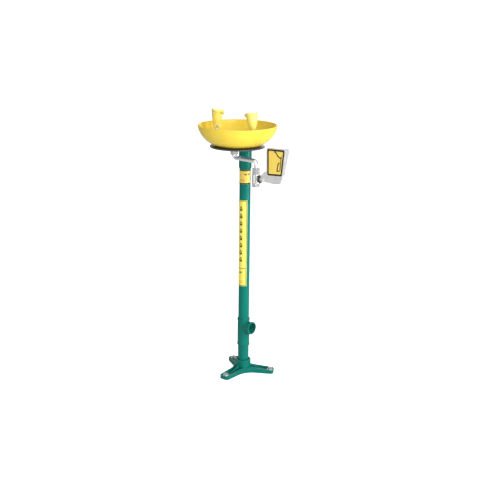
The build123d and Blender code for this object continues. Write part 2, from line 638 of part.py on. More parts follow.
def supply_tube():
    """Bent tube from the valve's spigot, across the front of the pipe, up into the shank."""
    path = FilletPolyline(
        (0, YOKE_Y, SHANK_BOTTOM + TUBE_INSERT),
        (0, YOKE_Y, RUN_Z),
        (VALVE_X, YOKE_Y, RUN_Z),
        (VALVE_X, YOKE_Y, SPIGOT_TOP - TUBE_INSERT),
        radius=TUBE_BEND_R,
    )
    return swept(path, TUBE_R) - swept(path, TUBE_R - TUBE_WALL)


# Ball valve. Pieces on the stem are drawn on the Z axis and laid along +X from the valve's axis.

def on_stem(shape):
    """A shape drawn on the Z axis, laid along the stem."""
    return Pos(VALVE_X, YOKE_Y, STEM_Z) * TO_X * shape


def leaned(shape):
    """A shape drawn upright about the stem, leaned back with the handle."""
    return Pos(VALVE_X, YOKE_Y, STEM_Z) * Rot(-HANDLE_LEAN, 0, 0) * shape


def between_flats(width):
    """Block between the two flats that the arm's hub holds."""
    block = Box(STEM_IN_HUB, 4 * STEM_R, width, align=(Align.MIN, Align.CENTER, Align.CENTER))
    return Pos(HUB_START, 0, 0) * block


def valve_body():
    """Valve body: a barrel open below, a hexagon and spigot above and a boss for the stem."""
    hex_top = VALVE_SHOULDER + VALVE_HEX_HEIGHT
    barrel = rod(VALVE_R, CAP_TOP, VALVE_SHOULDER)
    barrel = fillet(barrel.edges().filter_by(GeomType.CIRCLE), VALVE_ROUND)
    outer = barrel + hexagon(VALVE_HEX, VALVE_SHOULDER - VALVE_ROUND, hex_top)
    outer += rod(THREAD_R, hex_top, SPIGOT_TOP)
    body = at_valve(outer) + on_stem(rod(BOSS_R, 0, BOSS_LENGTH))
    body -= at_valve(rod(VALVE_CAVITY_R, CAP_TOP, STEM_Z + SEAT_END))
    body -= at_valve(rod(VALVE_PASSAGE_R, CAP_TOP, SPIGOT_TOP))
    body -= at_valve(rod(TUBE_R + SLIP, SPIGOT_TOP - TUBE_INSERT, SPIGOT_TOP))
    body -= on_stem(rod(STEM_FLANGE_R + FACE_GAP, 0, STEM_START + STEM_FLANGE + FACE_GAP))
    body -= on_stem(rod(STEM_R + RUNNING, 0, BOSS_LENGTH))
    return body - on_stem(rod(PACKING_R, PACKING_START, BOSS_LENGTH))


def valve_end_cap():
    """Threaded end of the valve that holds the lower seat and takes the supply pipe."""
    spigot_top = STEM_Z - SEAT_END
    cap = hexagon(END_CAP_HEX, INLET_Z, CAP_TOP) + rod(VALVE_CAVITY_R - SLIP, CAP_TOP, spigot_top)
    cap -= rod(VALVE_PASSAGE_R, INLET_Z, spigot_top)
    return at_valve(cap - rod(INLET_R, INLET_Z, INLET_Z + INLET_DEPTH))


def valve_seats():
    """The two seat rings, hollowed to the ball."""
    hollow = Pos(0, 0, STEM_Z) * Sphere(BALL_R + SEAT_GAP)
    outer_r = VALVE_CAVITY_R - SLIP
    upper = ring(outer_r, BALL_BORE_R, STEM_Z + SEAT_START, STEM_Z + SEAT_END) - hollow
    lower = ring(outer_r, BALL_BORE_R, STEM_Z - SEAT_END, STEM_Z - SEAT_START) - hollow
    return Compound(children=[at_valve(upper), at_valve(lower)])


def tang(width, length, start):
    """Flat tongue across the stem, drawn on the Z axis."""
    return Pos(0, 0, start) * Box(width, length, STEM_START - start, align=FROM_BASE)


def valve_ball():
    """Ball with its bore turned across the flow, and a slot for the stem's tongue."""
    mouth = sqrt(BALL_R**2 - BALL_BORE_R**2)
    bore_wall = Line((BALL_BORE_R, mouth), (BALL_BORE_R, -mouth))
    round_side = ThreePointArc((BALL_BORE_R, -mouth), (BALL_R, 0), (BALL_BORE_R, mouth))
    ball = revolve(Plane.XZ * make_face(Curve() + [bore_wall, round_side]), Axis.Z)
    ball = Pos(VALVE_X, YOKE_Y, STEM_Z) * TO_Y * ball
    return ball - on_stem(tang(TANG_WIDTH + 2 * SLIP, 2 * BALL_R, BALL_R - TANG_DEPTH))


def valve_stem():
    """Stem with a tongue in the ball, a flange inside the body and flats for the arm."""
    stem = rod(STEM_R, STEM_START, STEM_END) + rod(STEM_FLANGE_R, STEM_START, STEM_START + STEM_FLANGE)
    stem += tang(TANG_WIDTH, 2 * STEM_R, BALL_R - TANG_DEPTH + SLIP) & rod(STEM_R, 0, STEM_END)
    outside_flats = on_stem(rod(STEM_R + SLIP, HUB_START, STEM_END)) - leaned(between_flats(STEM_FLATS))
    return on_stem(stem) - outside_flats


def stem_packing():
    """Packing ring round the stem."""
    end = PACKING_START + PACKING_LENGTH
    return on_stem(ring(PACKING_R - SLIP, STEM_R + RUNNING, PACKING_START, end))


def gland_nut():
    """Hexagonal gland that presses the packing."""
    gland = hexagon(GLAND_FLATS, BOSS_LENGTH, BOSS_LENGTH + GLAND_HEIGHT)
    gland += rod(PACKING_R - SLIP, BOSS_LENGTH - GLAND_SPIGOT, BOSS_LENGTH)
    return on_stem(gland - rod(STEM_R + RUNNING, 0, HUB_START))


# Handle. Plates are drawn upright in X and Z from the valve's axis and the stem's height.

def panel(sketch, front, back):
    """Plate between two depths."""
    return Pos(0, back, 0) * extrude(Plane.XZ * sketch, back - front)


def label_shape(margin):
    """The label's outline, grown by a margin."""
    corners = Polygon(*[(HUB_START + x, z) for x, z in LABEL_OUTLINE], align=None)
    rounded = fillet(corners.vertices(), LABEL_CORNER_R)
    return offset(rounded, amount=margin) if margin else rounded


def label_middle():
    """Middle of the label across its width."""
    return HUB_START + sum(x for x, _ in LABEL_OUTLINE) / len(LABEL_OUTLINE)


def at_rivets(shape):
    """A shape drawn on the Z axis, laid front to back at each rivet."""
    places = [label_middle() + side * RIVET_SPACING / 2 for side in (-1, 1)]
    return [Pos(x, 0, RIVET_HEIGHT) * TO_Y * shape for x in places]


def at_set_screw(shape):
    """A shape drawn downwards from the stem's lower flat, placed at the set screw."""
    return Pos(HUB_START + STEM_IN_HUB / 2, 0, -STEM_FLATS / 2) * shape


def handle_arm():
    """Cast arm: a blind hub on the stem's flats and a blade behind the flag's foot."""
    outline = Polygon(*[(HUB_START + x, z) for x, z in ARM_OUTLINE], align=None)
    far_corners = [corner for corner in outline.vertices() if corner.X > HUB_START + 1]
    blade = panel(fillet(far_corners, ARM_CORNER_R), ARM_FRONT, ARM_BACK)
    hub = TO_X * rod(ARM_HUB_R, HUB_START, HUB_START + ARM_HUB_LENGTH)
    bore = TO_X * rod(STEM_R + SLIP, HUB_START, STEM_END) & between_flats(STEM_FLATS + 2 * SLIP)
    arm = blade + hub - bore - at_set_screw(rod(SET_SCREW_R + SLIP, -ARM_HUB_R, 0))
    return leaned(arm - at_rivets(rod(RIVET_R + SLIP, ARM_FRONT, ARM_BACK)))


def handle_set_screw():
    """Grub screw in the arm's hub, against the stem's lower flat."""
    socket = hexagon(SET_SCREW_R, STEM_FLATS / 2 - ARM_HUB_R, -SET_SCREW_R)
    screw = rod(SET_SCREW_R, STEM_FLATS / 2 - ARM_HUB_R, 0)
    return leaned(at_set_screw(screw - socket))


def push_flag():
    """Folded steel flag: a face plate with flanges that deepen from the foot to the top."""
    heights = [z for _, z in LABEL_OUTLINE]
    foot = min(heights) - FLAG_MARGIN
    top = max(heights) + FLAG_MARGIN
    back = FLAG_FRONT + FLANGE_TOP_DEPTH
    far = 2 * top
    tray = panel(label_shape(FLAG_MARGIN), FLAG_FRONT, back)
    tray -= panel(label_shape(FLAG_MARGIN - FLAG_GAUGE), ARM_FRONT, back)
    sides = ((FLAG_FRONT, foot), (FLAG_FRONT + FLANGE_FOOT_DEPTH, foot), (back, top), (FLAG_FRONT, top))
    tray = tray & extrude(Plane.YZ * Polygon(*sides, align=None), far)
    open_foot = Polygon(
        (0, 0),
        (far, 0),
        (far, FLANGE_START),
        (label_middle(), FLANGE_START),
        (label_middle(), FLANGE_INNER_START),
        (0, FLANGE_INNER_START),
        align=None,
    )
    tray -= panel(open_foot, ARM_FRONT, back)
    return leaned(tray - at_rivets(rod(RIVET_R + SLIP, FLAG_FRONT, ARM_FRONT)))


def flag_label():
    """Thin label on the flag's face."""
    return leaned(panel(label_shape(0), FLAG_FRONT - LABEL_THICKNESS, FLAG_FRONT))


def flag_rivets():
    """Two rivets, flush in the flag's face, with round heads behind the arm."""
    head_top = ARM_BACK + RIVET_HEAD
    rivet = round_edges(rod(RIVET_HEAD_R, ARM_BACK, head_top), RIVET_HEAD / 2, RIVET_HEAD_R, head_top)
    rivet += rod(RIVET_R, FLAG_FRONT, ARM_BACK)
    return Compound(children=[leaned(place) for place in at_rivets(rivet)])


def stem_spacer():
    """Spacer disc between the gland and the arm, turning with the stem."""
    return on_stem(ring(SPACER_R, STEM_R + SLIP, SPACER_START, HUB_START))


# Yoke. The right-hand pieces are drawn, and turned half round the shank for the left-hand ones.

def turned_round(shape):
    """The left-hand twin of a right-hand piece."""
    return at_shank(Rot(0, 0, 180) * Pos(0, -YOKE_Y, 0) * shape)


def on_yoke(shape):
    """A shape drawn on the Z axis, laid along the yoke."""
    return Pos(0, YOKE_Y, YOKE_Z) * TO_X * shape


def elbow_corner():
    """Where the yoke's axis meets a head's axis, from the station's middle."""
    return HEAD_X + HEAD_RISE * tan(radians(HEAD_LEAN))


def elbow_face():
    """Start of the elbow's socket, from the station's middle."""
    turn = radians(90 + HEAD_LEAN)
    return elbow_corner() - ELBOW_BEND_R * tan(turn / 2) - YOKE_SOCKET


def at_head(shape):
    """A shape drawn upwards from a head's base, placed on the right-hand head."""
    return Pos(HEAD_X, YOKE_Y, HEAD_Z) * Rot(0, -HEAD_LEAN, 0) * shape


def yoke_tee():
    """Tee that stands on the shank and feeds both arms."""
    top = YOKE_Z + YOKE_SOCKET_R + YOKE_TEE_CAP
    post = round_edges(rod(YOKE_TEE_R, SHANK_SHOULDER, top), 2 * LIP_ROUND, YOKE_TEE_R, top)
    cross = rod(YOKE_SOCKET_R, -YOKE_TEE_REACH, YOKE_TEE_REACH)
    cross = fillet(cross.edges().filter_by(GeomType.CIRCLE), LIP_ROUND)
    tee = at_shank(post) + on_yoke(cross)
    tee -= at_shank(rod(THREAD_R + SLIP, SHANK_SHOULDER, SHANK_TOP))
    tee -= at_shank(rod(SHANK_BORE_R, SHANK_SHOULDER, YOKE_Z))
    tee -= on_yoke(rod(ARM_BORE_R, -YOKE_TEE_REACH, YOKE_TEE_REACH))
    for side in (-1, 1):
        middle = side * (YOKE_TEE_REACH - YOKE_SOCKET / 2)
        tee -= on_yoke(rod(ARM_TUBE_R + SLIP, middle - YOKE_SOCKET / 2, middle + YOKE_SOCKET / 2))
    return tee


def yoke_arm():
    """Straight tube between the tee and an elbow."""
    start = YOKE_TEE_REACH - YOKE_SOCKET
    end = elbow_face() + YOKE_SOCKET
    return on_yoke(ring(ARM_TUBE_R, ARM_BORE_R, start, end))


def yoke_elbow():
    """Elbow with a socket for the arm and a neck that leans in under the head."""
    start = elbow_face()
    nut_base = at_head(Pos(0, 0, -HEAD_NUT_HEIGHT)).position
    path = FilletPolyline(
        (start, YOKE_Y, YOKE_Z), (elbow_corner(), YOKE_Y, YOKE_Z), nut_base, radius=ELBOW_BEND_R
    )
    socket = rod(YOKE_SOCKET_R, start, start + YOKE_SOCKET)
    socket = fillet(socket.edges().filter_by(GeomType.CIRCLE), LIP_ROUND)
    neck = at_head(rod(ARM_TUBE_R, -HEAD_NUT_HEIGHT, HEAD_SOCKET))
    elbow = swept(path, ELBOW_R) + on_yoke(socket) + neck
    elbow -= swept(path, ARM_BORE_R) + at_head(rod(ARM_BORE_R, -HEAD_NUT_HEIGHT, HEAD_SOCKET))
    return elbow - on_yoke(rod(ARM_TUBE_R + SLIP, start, start + YOKE_SOCKET))


def head_nut():
    """Hexagonal nut between an elbow and its spray head."""
    nut = hexagon(HEAD_NUT_FLATS, -HEAD_NUT_HEIGHT, 0)
    return at_head(nut - rod(ARM_TUBE_R + SLIP, -HEAD_NUT_HEIGHT, 0))


# Spray heads

def on_hinge(shape):
    """A shape drawn on the Z axis, laid along the lid's hinge."""
    return Pos(HINGE_X, 0, HINGE_Z) * TO_Y * shape


def head_body():
    """Tapered spray head with a chamber under its rim and two hinge ears."""
    ear_start = KNUCKLE_WIDTH / 2 + FACE_GAP
    ear_end = ear_start + EAR_WIDTH
    ear_side = HINGE_X + KNUCKLE_R
    foot = HINGE_Z - EAR_DROP
    web = section(
        (HINGE_X - KNUCKLE_R, HINGE_Z),
        (-upper_r(foot) + 1, foot),
        (-NECK_R, HEAD_SHOULDER - LID_SEAM),
        (ear_side, HEAD_SHOULDER - LID_SEAM),
        (ear_side, HINGE_Z),
    )
    ears = extrude(web, ear_end, both=True) + on_hinge(rod(KNUCKLE_R, -ear_end, ear_end))
    ears -= Box(4 * HEAD_LENGTH, 2 * ear_start, 4 * HEAD_LENGTH)
    knee_r = upper_r(HEAD_KNEE)
    body = taper(HEAD_BASE_R, knee_r, 0, HEAD_KNEE)
    body += taper(knee_r, upper_r(HEAD_SHOULDER), HEAD_KNEE, HEAD_SHOULDER)
    body = round_edges(body, HEAD_KNEE_ROUND, knee_r, HEAD_KNEE)
    body += rod(NECK_R, HEAD_SHOULDER, HEAD_RIM) + ears
    throat_top = HEAD_SOCKET + HEAD_THROAT
    body -= rod(ARM_TUBE_R + SLIP, 0, HEAD_SOCKET)
    body -= rod(HEAD_THROAT_R, 0, throat_top)
    body -= taper(HEAD_THROAT_R, CHAMBER_R, throat_top, HEAD_CHAMBER)
    body -= rod(CHAMBER_R, HEAD_CHAMBER, HEAD_RIM)
    return at_head(body - on_hinge(rod(LID_PIN_R, -ear_end, ear_end)))


def flow_regulator():
    """Disc with one hole that evens the flow."""
    end = HEAD_CHAMBER + REGULATOR_THICKNESS
    return at_head(ring(CHAMBER_R - SLIP, REGULATOR_HOLE_R, HEAD_CHAMBER, end))


def filter_disc():
    """Foam filter above the regulator."""
    start = HEAD_CHAMBER + REGULATOR_THICKNESS
    return at_head(rod(CHAMBER_R - SLIP, start, start + FILTER_THICKNESS))


def screen_rings():
    """Radius and number of holes of each ring that the screen has room for."""
    room = CHAMBER_R - SCREEN_MARGIN - SCREEN_RING_START
    places = range(int(room / SCREEN_RING_STEP) + 1)
    return [(SCREEN_RING_START + SCREEN_RING_STEP * n, SCREEN_RING_HOLES * (n + 1)) for n in places]


def spray_screen():
    """Perforated disc that the water leaves through."""
    start = HEAD_CHAMBER + REGULATOR_THICKNESS + FILTER_THICKNESS
    end = start + SCREEN_THICKNESS
    disc = rod(CHAMBER_R - SLIP, start, end)
    return at_head(disc - hole_rings(screen_rings(), SCREEN_HOLE_R, start, end))


def head_lid():
    """Flip-up lid with a skirt round the head's neck and one hinge knuckle."""
    bottom = HEAD_SHOULDER + LID_SEAM
    inside = HEAD_RIM + FACE_GAP
    skirt_r = NECK_R + LID_GAP
    lid = taper(upper_r(bottom), HEAD_TOP_R, bottom, HEAD_LENGTH)
    lid = round_edges(lid, LID_ROUND, HEAD_TOP_R, HEAD_LENGTH)
    tongue = Box(-HINGE_X - skirt_r, KNUCKLE_WIDTH, KNUCKLE_R, align=(Align.MIN, Align.CENTER, Align.MIN))
    lid += Pos(HINGE_X, 0, HINGE_Z) * tongue
    lid += on_hinge(rod(KNUCKLE_R, -KNUCKLE_WIDTH / 2, KNUCKLE_WIDTH / 2))
    lid -= rod(skirt_r, bottom, inside)
    return at_head(lid - on_hinge(rod(LID_PIN_R + RUNNING, -KNUCKLE_WIDTH, KNUCKLE_WIDTH)))


def lid_pin():
    """Pin pressed in the head's ears, on which the lid's knuckle turns."""
    end = KNUCKLE_WIDTH / 2 + FACE_GAP + EAR_WIDTH
    return at_head(on_hinge(rod(LID_PIN_R, -end, end)))


PARTS = {
    "floor_base": floor_base(),
    "anchor_washers": anchor_washers(),
    "anchor_nuts": anchor_nuts(),
    "lower_nipple": pipe(NIPPLE_BOTTOM, NIPPLE_TOP),
    "waste_tee": waste_tee(),
    "stand_pipe": pipe(PIPE_BOTTOM, PIPE_TOP),
    "mounting_collar": mounting_collar(),
    "support_plate": support_plate(),
    "pole_sign": pole_wrap(SIGN_BOTTOM, SIGN_TOP, SIGN_ANGLE),
    "pole_strip": pole_wrap(STRIP_BOTTOM, STRIP_TOP, STRIP_ANGLE),
    "bowl": bowl(),
    "drain_gasket": ring(DRAIN_FLANGE_R, DRAIN_TAIL_R + BOLT_GAP, BOWL_FLOOR, GASKET_TOP),
    "drain_body": drain_body(),
    "drain_strainer": drain_strainer(),
    "strainer_screw": strainer_screw(),
    "supply_shank": at_shank(supply_shank()),
    "shank_gasket": at_shank(ring(SHANK_FLANGE_R, THREAD_R + BOLT_GAP, BOWL_FLOOR, GASKET_TOP)),
    "shank_washer": at_shank(ring(SHANK_WASHER_R, THREAD_R + BOLT_GAP, LOCKNUT_TOP, PLATE_BOTTOM)),
    "shank_locknut": at_shank(shank_locknut()),
    "riser_nut": at_shank_end(tube_nut()),
    "valve_tube_nut": at_spigot_end(tube_nut()),
    "tube_ferrules": tube_ferrules(),
    "supply_tube": supply_tube(),
    "valve_body": valve_body(),
    "valve_end_cap": valve_end_cap(),
    "valve_seats": valve_seats(),
    "valve_ball": valve_ball(),
    "valve_stem": valve_stem(),
    "stem_packing": stem_packing(),
    "gland_nut": gland_nut(),
    "stem_spacer": stem_spacer(),
    "handle_arm": handle_arm(),
    "push_flag": push_flag(),
    "flag_label": flag_label(),
    "flag_rivets": flag_rivets(),
    "handle_set_screw": handle_set_screw(),
    "yoke_tee": yoke_tee(),
}

PAIRS = {
    "yoke_arm": yoke_arm(),
    "yoke_elbow": yoke_elbow(),
    "head_nut": head_nut(),
    "head_body": head_body(),
    "flow_regulator": flow_regulator(),
    "filter_disc": filter_disc(),
    "spray_screen": spray_screen(),
    "head_lid": head_lid(),
    "lid_pin": lid_pin(),
}

for name, shape in PAIRS.items():
    PARTS[name + "_right"] = shape
    PARTS[name + "_left"] = turned_round(shape)

os.makedirs("parts", exist_ok=True)
for name, shape in PARTS.items():
    export_step(shape, f"parts/{name}.step")
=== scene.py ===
"""Finishes, printed signs, threads, light and camera of a pedestal eyewash station.

Everything is in metres in the frame's own axes: the pedestal stands on the origin, +Z is up, the
user stands on the -Y side and the push flag is on the +X side.
"""

from __future__ import annotations

import logging
import math
from collections.abc import Callable, Sequence
from dataclasses import dataclass, field
from enum import Enum

import bmesh
import bpy
from mathutils import Matrix, Vector

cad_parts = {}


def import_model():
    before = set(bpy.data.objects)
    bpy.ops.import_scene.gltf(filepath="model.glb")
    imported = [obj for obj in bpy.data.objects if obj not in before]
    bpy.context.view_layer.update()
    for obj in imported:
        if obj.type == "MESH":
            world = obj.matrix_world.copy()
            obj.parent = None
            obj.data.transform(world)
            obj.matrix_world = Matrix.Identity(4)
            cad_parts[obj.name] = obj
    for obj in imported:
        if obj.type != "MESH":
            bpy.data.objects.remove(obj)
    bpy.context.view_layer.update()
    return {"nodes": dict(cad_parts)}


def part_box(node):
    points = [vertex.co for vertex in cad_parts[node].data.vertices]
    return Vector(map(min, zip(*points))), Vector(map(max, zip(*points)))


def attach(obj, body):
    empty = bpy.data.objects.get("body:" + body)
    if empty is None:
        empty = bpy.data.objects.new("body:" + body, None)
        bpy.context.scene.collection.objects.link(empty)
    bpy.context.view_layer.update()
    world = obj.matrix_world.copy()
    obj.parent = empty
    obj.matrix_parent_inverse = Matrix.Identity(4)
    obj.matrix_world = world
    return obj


LOG = logging.getLogger("eyewash_station")
MM = 0.001

Point = tuple[float, float]
Colour = tuple[float, float, float]
Nodes = dict[str, bpy.types.Object]


class Brushing(Enum):
    """Direction in which a metal's fine scratches run."""

    NONE = (1.0, 1.0, 1.0)
    ALONG_X = (0.04, 1.0, 1.0)
    ALONG_Z = (1.0, 1.0, 0.04)


class PrintInk(Enum):
    """Inks on the printed labels, as linear colours."""

    BLACK = (0.012, 0.012, 0.012)
    GREEN = (0.015, 0.055, 0.02)
    ORANGE = (0.85, 0.32, 0.03)


# Shader and geometry trees


class TreeSketch:
    """A node tree being filled in."""

    def __init__(self, tree: bpy.types.NodeTree) -> None:
        """Start on an empty tree.

        Args:
            tree: The node tree to fill.
        """
        self.tree = tree
        tree.nodes.clear()

    def add(self, kind: str, **settings: object) -> bpy.types.Node:
        """Add a node.

        Args:
            kind: The node's type name.
            **settings: Attributes to set on it.

        Returns:
            The new node.
        """
        node = self.tree.nodes.new(kind)
        node.location = (len(self.tree.nodes) * 190, 0)
        for name, value in settings.items():
            setattr(node, name, value)
        return node

    def feed(self, node: bpy.types.Node, **inputs: object) -> bpy.types.Node:
        """Wire or set a node's inputs, naming each with underscores for spaces.

        Args:
            node: The node whose inputs are filled.
            **inputs: A socket to link from or a plain value for each input.

        Returns:
            The same node.
        """
        for name, value in inputs.items():
            socket = node.inputs[name.replace("_", " ")]
            if isinstance(value, bpy.types.NodeSocket):
                self.tree.links.new(value, socket)
            else:
                socket.default_value = value
        return node

    def sum(self, operation: str, *terms: object) -> bpy.types.NodeSocket:
        """Work out a value from one, two or three others.

        Args:
            operation: The Math node's operation.
            *terms: A socket or a number for each operand.

        Returns:
            The result's socket.
        """
        node = self.add("ShaderNodeMath", operation=operation)
        for socket, term in zip(node.inputs, terms):
            if isinstance(term, bpy.types.NodeSocket):
                self.tree.links.new(term, socket)
            else:
                socket.default_value = term
        return node.outputs[0]

    def blend(self, share: object, first: object, second: object) -> bpy.types.NodeSocket:
        """Mix two colours.

        Args:
            share: How much of the second colour shows.
            first: The first colour or its socket.
            second: The second colour or its socket.

        Returns:
            The mixed colour's socket.
        """
        node = self.add("ShaderNodeMix", data_type="RGBA")
        for index, value in ((0, share), (6, first), (7, second)):
            if isinstance(value, bpy.types.NodeSocket):
                self.tree.links.new(value, node.inputs[index])
            elif index:
                node.inputs[index].default_value = (*value, 1.0)
            else:
                node.inputs[index].default_value = value
        return node.outputs[2]

    def noise(self, place: object, scale: object, detail: float = 3.0) -> bpy.types.NodeSocket:
        """Add a noise pattern.

        Args:
            place: The coordinate's socket.
            scale: Waves per metre, or the socket that says so.
            detail: Octaves.

        Returns:
            The pattern's value, about 0.5.
        """
        node = self.add("ShaderNodeTexNoise")
        self.feed(node, Vector=place, Scale=scale, Detail=detail)
        return node.outputs[0]

    def ramp(
        self, value: object, low: object, high: object, start: float = 0.3, end: float = 0.7
    ) -> bpy.types.NodeSocket:
        """Stretch a value smoothly between two limits.

        Args:
            value: The socket to stretch.
            low: Result at the start.
            high: Result at the end.
            start: Where the value begins to rise.
            end: Where it stops.

        Returns:
            The stretched value's socket.
        """
        node = self.add("ShaderNodeMapRange", interpolation_type="SMOOTHSTEP")
        self.feed(node, Value=value, From_Min=start, From_Max=end, To_Min=low, To_Max=high)
        return node.outputs[0]


def new_group(
    name: str, inputs: dict[str, float], outputs: dict[str, str]
) -> tuple[TreeSketch, object, object]:
    """Start a shader node group with number inputs.

    Args:
        name: The group's name.
        inputs: Each input's name and default.
        outputs: Each output's name and socket type.

    Returns:
        The sketch of its tree, its input node and its output node.
    """
    tree = bpy.data.node_groups.new(name, "ShaderNodeTree")
    for title, value in inputs.items():
        socket = tree.interface.new_socket(name=title, in_out="INPUT", socket_type="NodeSocketFloat")
        socket.default_value = value
    for title, kind in outputs.items():
        tree.interface.new_socket(name=title, in_out="OUTPUT", socket_type=kind)
    sketch = TreeSketch(tree)
    return sketch, sketch.add("NodeGroupInput"), sketch.add("NodeGroupOutput")


class Effects:
    """Shader node groups that several finishes share, each built once."""

    def __init__(self) -> None:
        """Build the groups."""
        self.edges = self._edges()
        self.grain = self._grain()
        self.dust = self._dust()

    @staticmethod
    def _edges() -> bpy.types.NodeTree:
        """Build the group that softens edges and finds where they are rubbed.

        Returns:
            The group, with a rub mask and the softened normal.
        """
        sketch, given, result = new_group(
            "rubbed_edges",
            {"Radius": 0.0008, "Breakup": 90.0, "Reach": 1.0},
            {"Mask": "NodeSocketFloat", "Normal": "NodeSocketVector"},
        )
        bevel = sketch.add("ShaderNodeBevel", samples=4)
        sketch.feed(bevel, Radius=given.outputs["Radius"])
        geometry = sketch.add("ShaderNodeNewGeometry")
        facing = sketch.add("ShaderNodeVectorMath", operation="DOT_PRODUCT")
        sketch.tree.links.new(bevel.outputs[0], facing.inputs[0])
        sketch.tree.links.new(geometry.outputs["Normal"], facing.inputs[1])
        bend = sketch.sum("SUBTRACT", 1.0, facing.outputs["Value"])
        place = sketch.add("ShaderNodeTexCoord").outputs["Object"]
        patches = sketch.ramp(sketch.noise(place, given.outputs["Breakup"], 5.0), 0.0, 1.0, 0.42, 0.62)
        rubbed = sketch.sum("MULTIPLY", sketch.ramp(bend, 0.0, 1.0, 0.03, 0.2), patches)
        sketch.feed(result, Mask=sketch.sum("MULTIPLY", rubbed, given.outputs["Reach"]))
        sketch.feed(result, Normal=bevel.outputs[0])
        return sketch.tree

    @staticmethod
    def _grain() -> bpy.types.NodeTree:
        """Build the group that varies gloss and gives a fine height.

        Returns:
            The group, with a roughness between its limits and a height.
        """
        sketch, given, result = new_group(
            "fine_grain",
            {"Scale": 60.0, "Low": 0.3, "High": 0.4, "Fineness": 900.0},
            {"Roughness": "NodeSocketFloat", "Height": "NodeSocketFloat", "Tone": "NodeSocketFloat"},
        )
        place = sketch.add("ShaderNodeTexCoord").outputs["Object"]
        broad = sketch.noise(place, given.outputs["Scale"], 4.0)
        fine = sketch.noise(place, given.outputs["Fineness"], 2.0)
        both = sketch.sum("ADD", sketch.sum("MULTIPLY", broad, 0.75), sketch.sum("MULTIPLY", fine, 0.25))
        sketch.feed(result, Roughness=sketch.ramp(both, given.outputs["Low"], given.outputs["High"]))
        sketch.feed(result, Height=fine, Tone=sketch.ramp(broad, 0.0, 1.0))
        return sketch.tree

    @staticmethod
    def _dust() -> bpy.types.NodeTree:
        """Build the group that finds where dust settles.

        Returns:
            The group, with a mask that is strongest on faces that look up.
        """
        sketch, given, result = new_group(
            "settled_dust", {"Amount": 0.2, "Scale": 25.0}, {"Mask": "NodeSocketFloat"}
        )
        normal = sketch.add("ShaderNodeSeparateXYZ")
        sketch.feed(normal, Vector=sketch.add("ShaderNodeNewGeometry").outputs["Normal"])
        upward = sketch.ramp(normal.outputs["Z"], 0.0, 1.0, 0.35, 0.95)
        place = sketch.add("ShaderNodeTexCoord").outputs["Object"]
        patches = sketch.ramp(sketch.noise(place, given.outputs["Scale"], 6.0), 0.2, 1.0)
        mask = sketch.sum("MULTIPLY", sketch.sum("MULTIPLY", upward, patches), given.outputs["Amount"])
        sketch.feed(result, Mask=mask)
        return sketch.tree


@dataclass
class Palette:
    """Builds each finish's material once and hands it out by name."""

    effects: Effects = field(default_factory=Effects)
    made: dict[str, bpy.types.Material] = field(default_factory=dict)

    def get(self, finish: Finish) -> bpy.types.Material:
        """The material of a finish.

        Args:
            finish: The finish wanted.

        Returns:
            Its material, built on the first call.
        """
        if finish.name not in self.made:
            self.made[finish.name] = finish.build(self.effects)
        return self.made[finish.name]


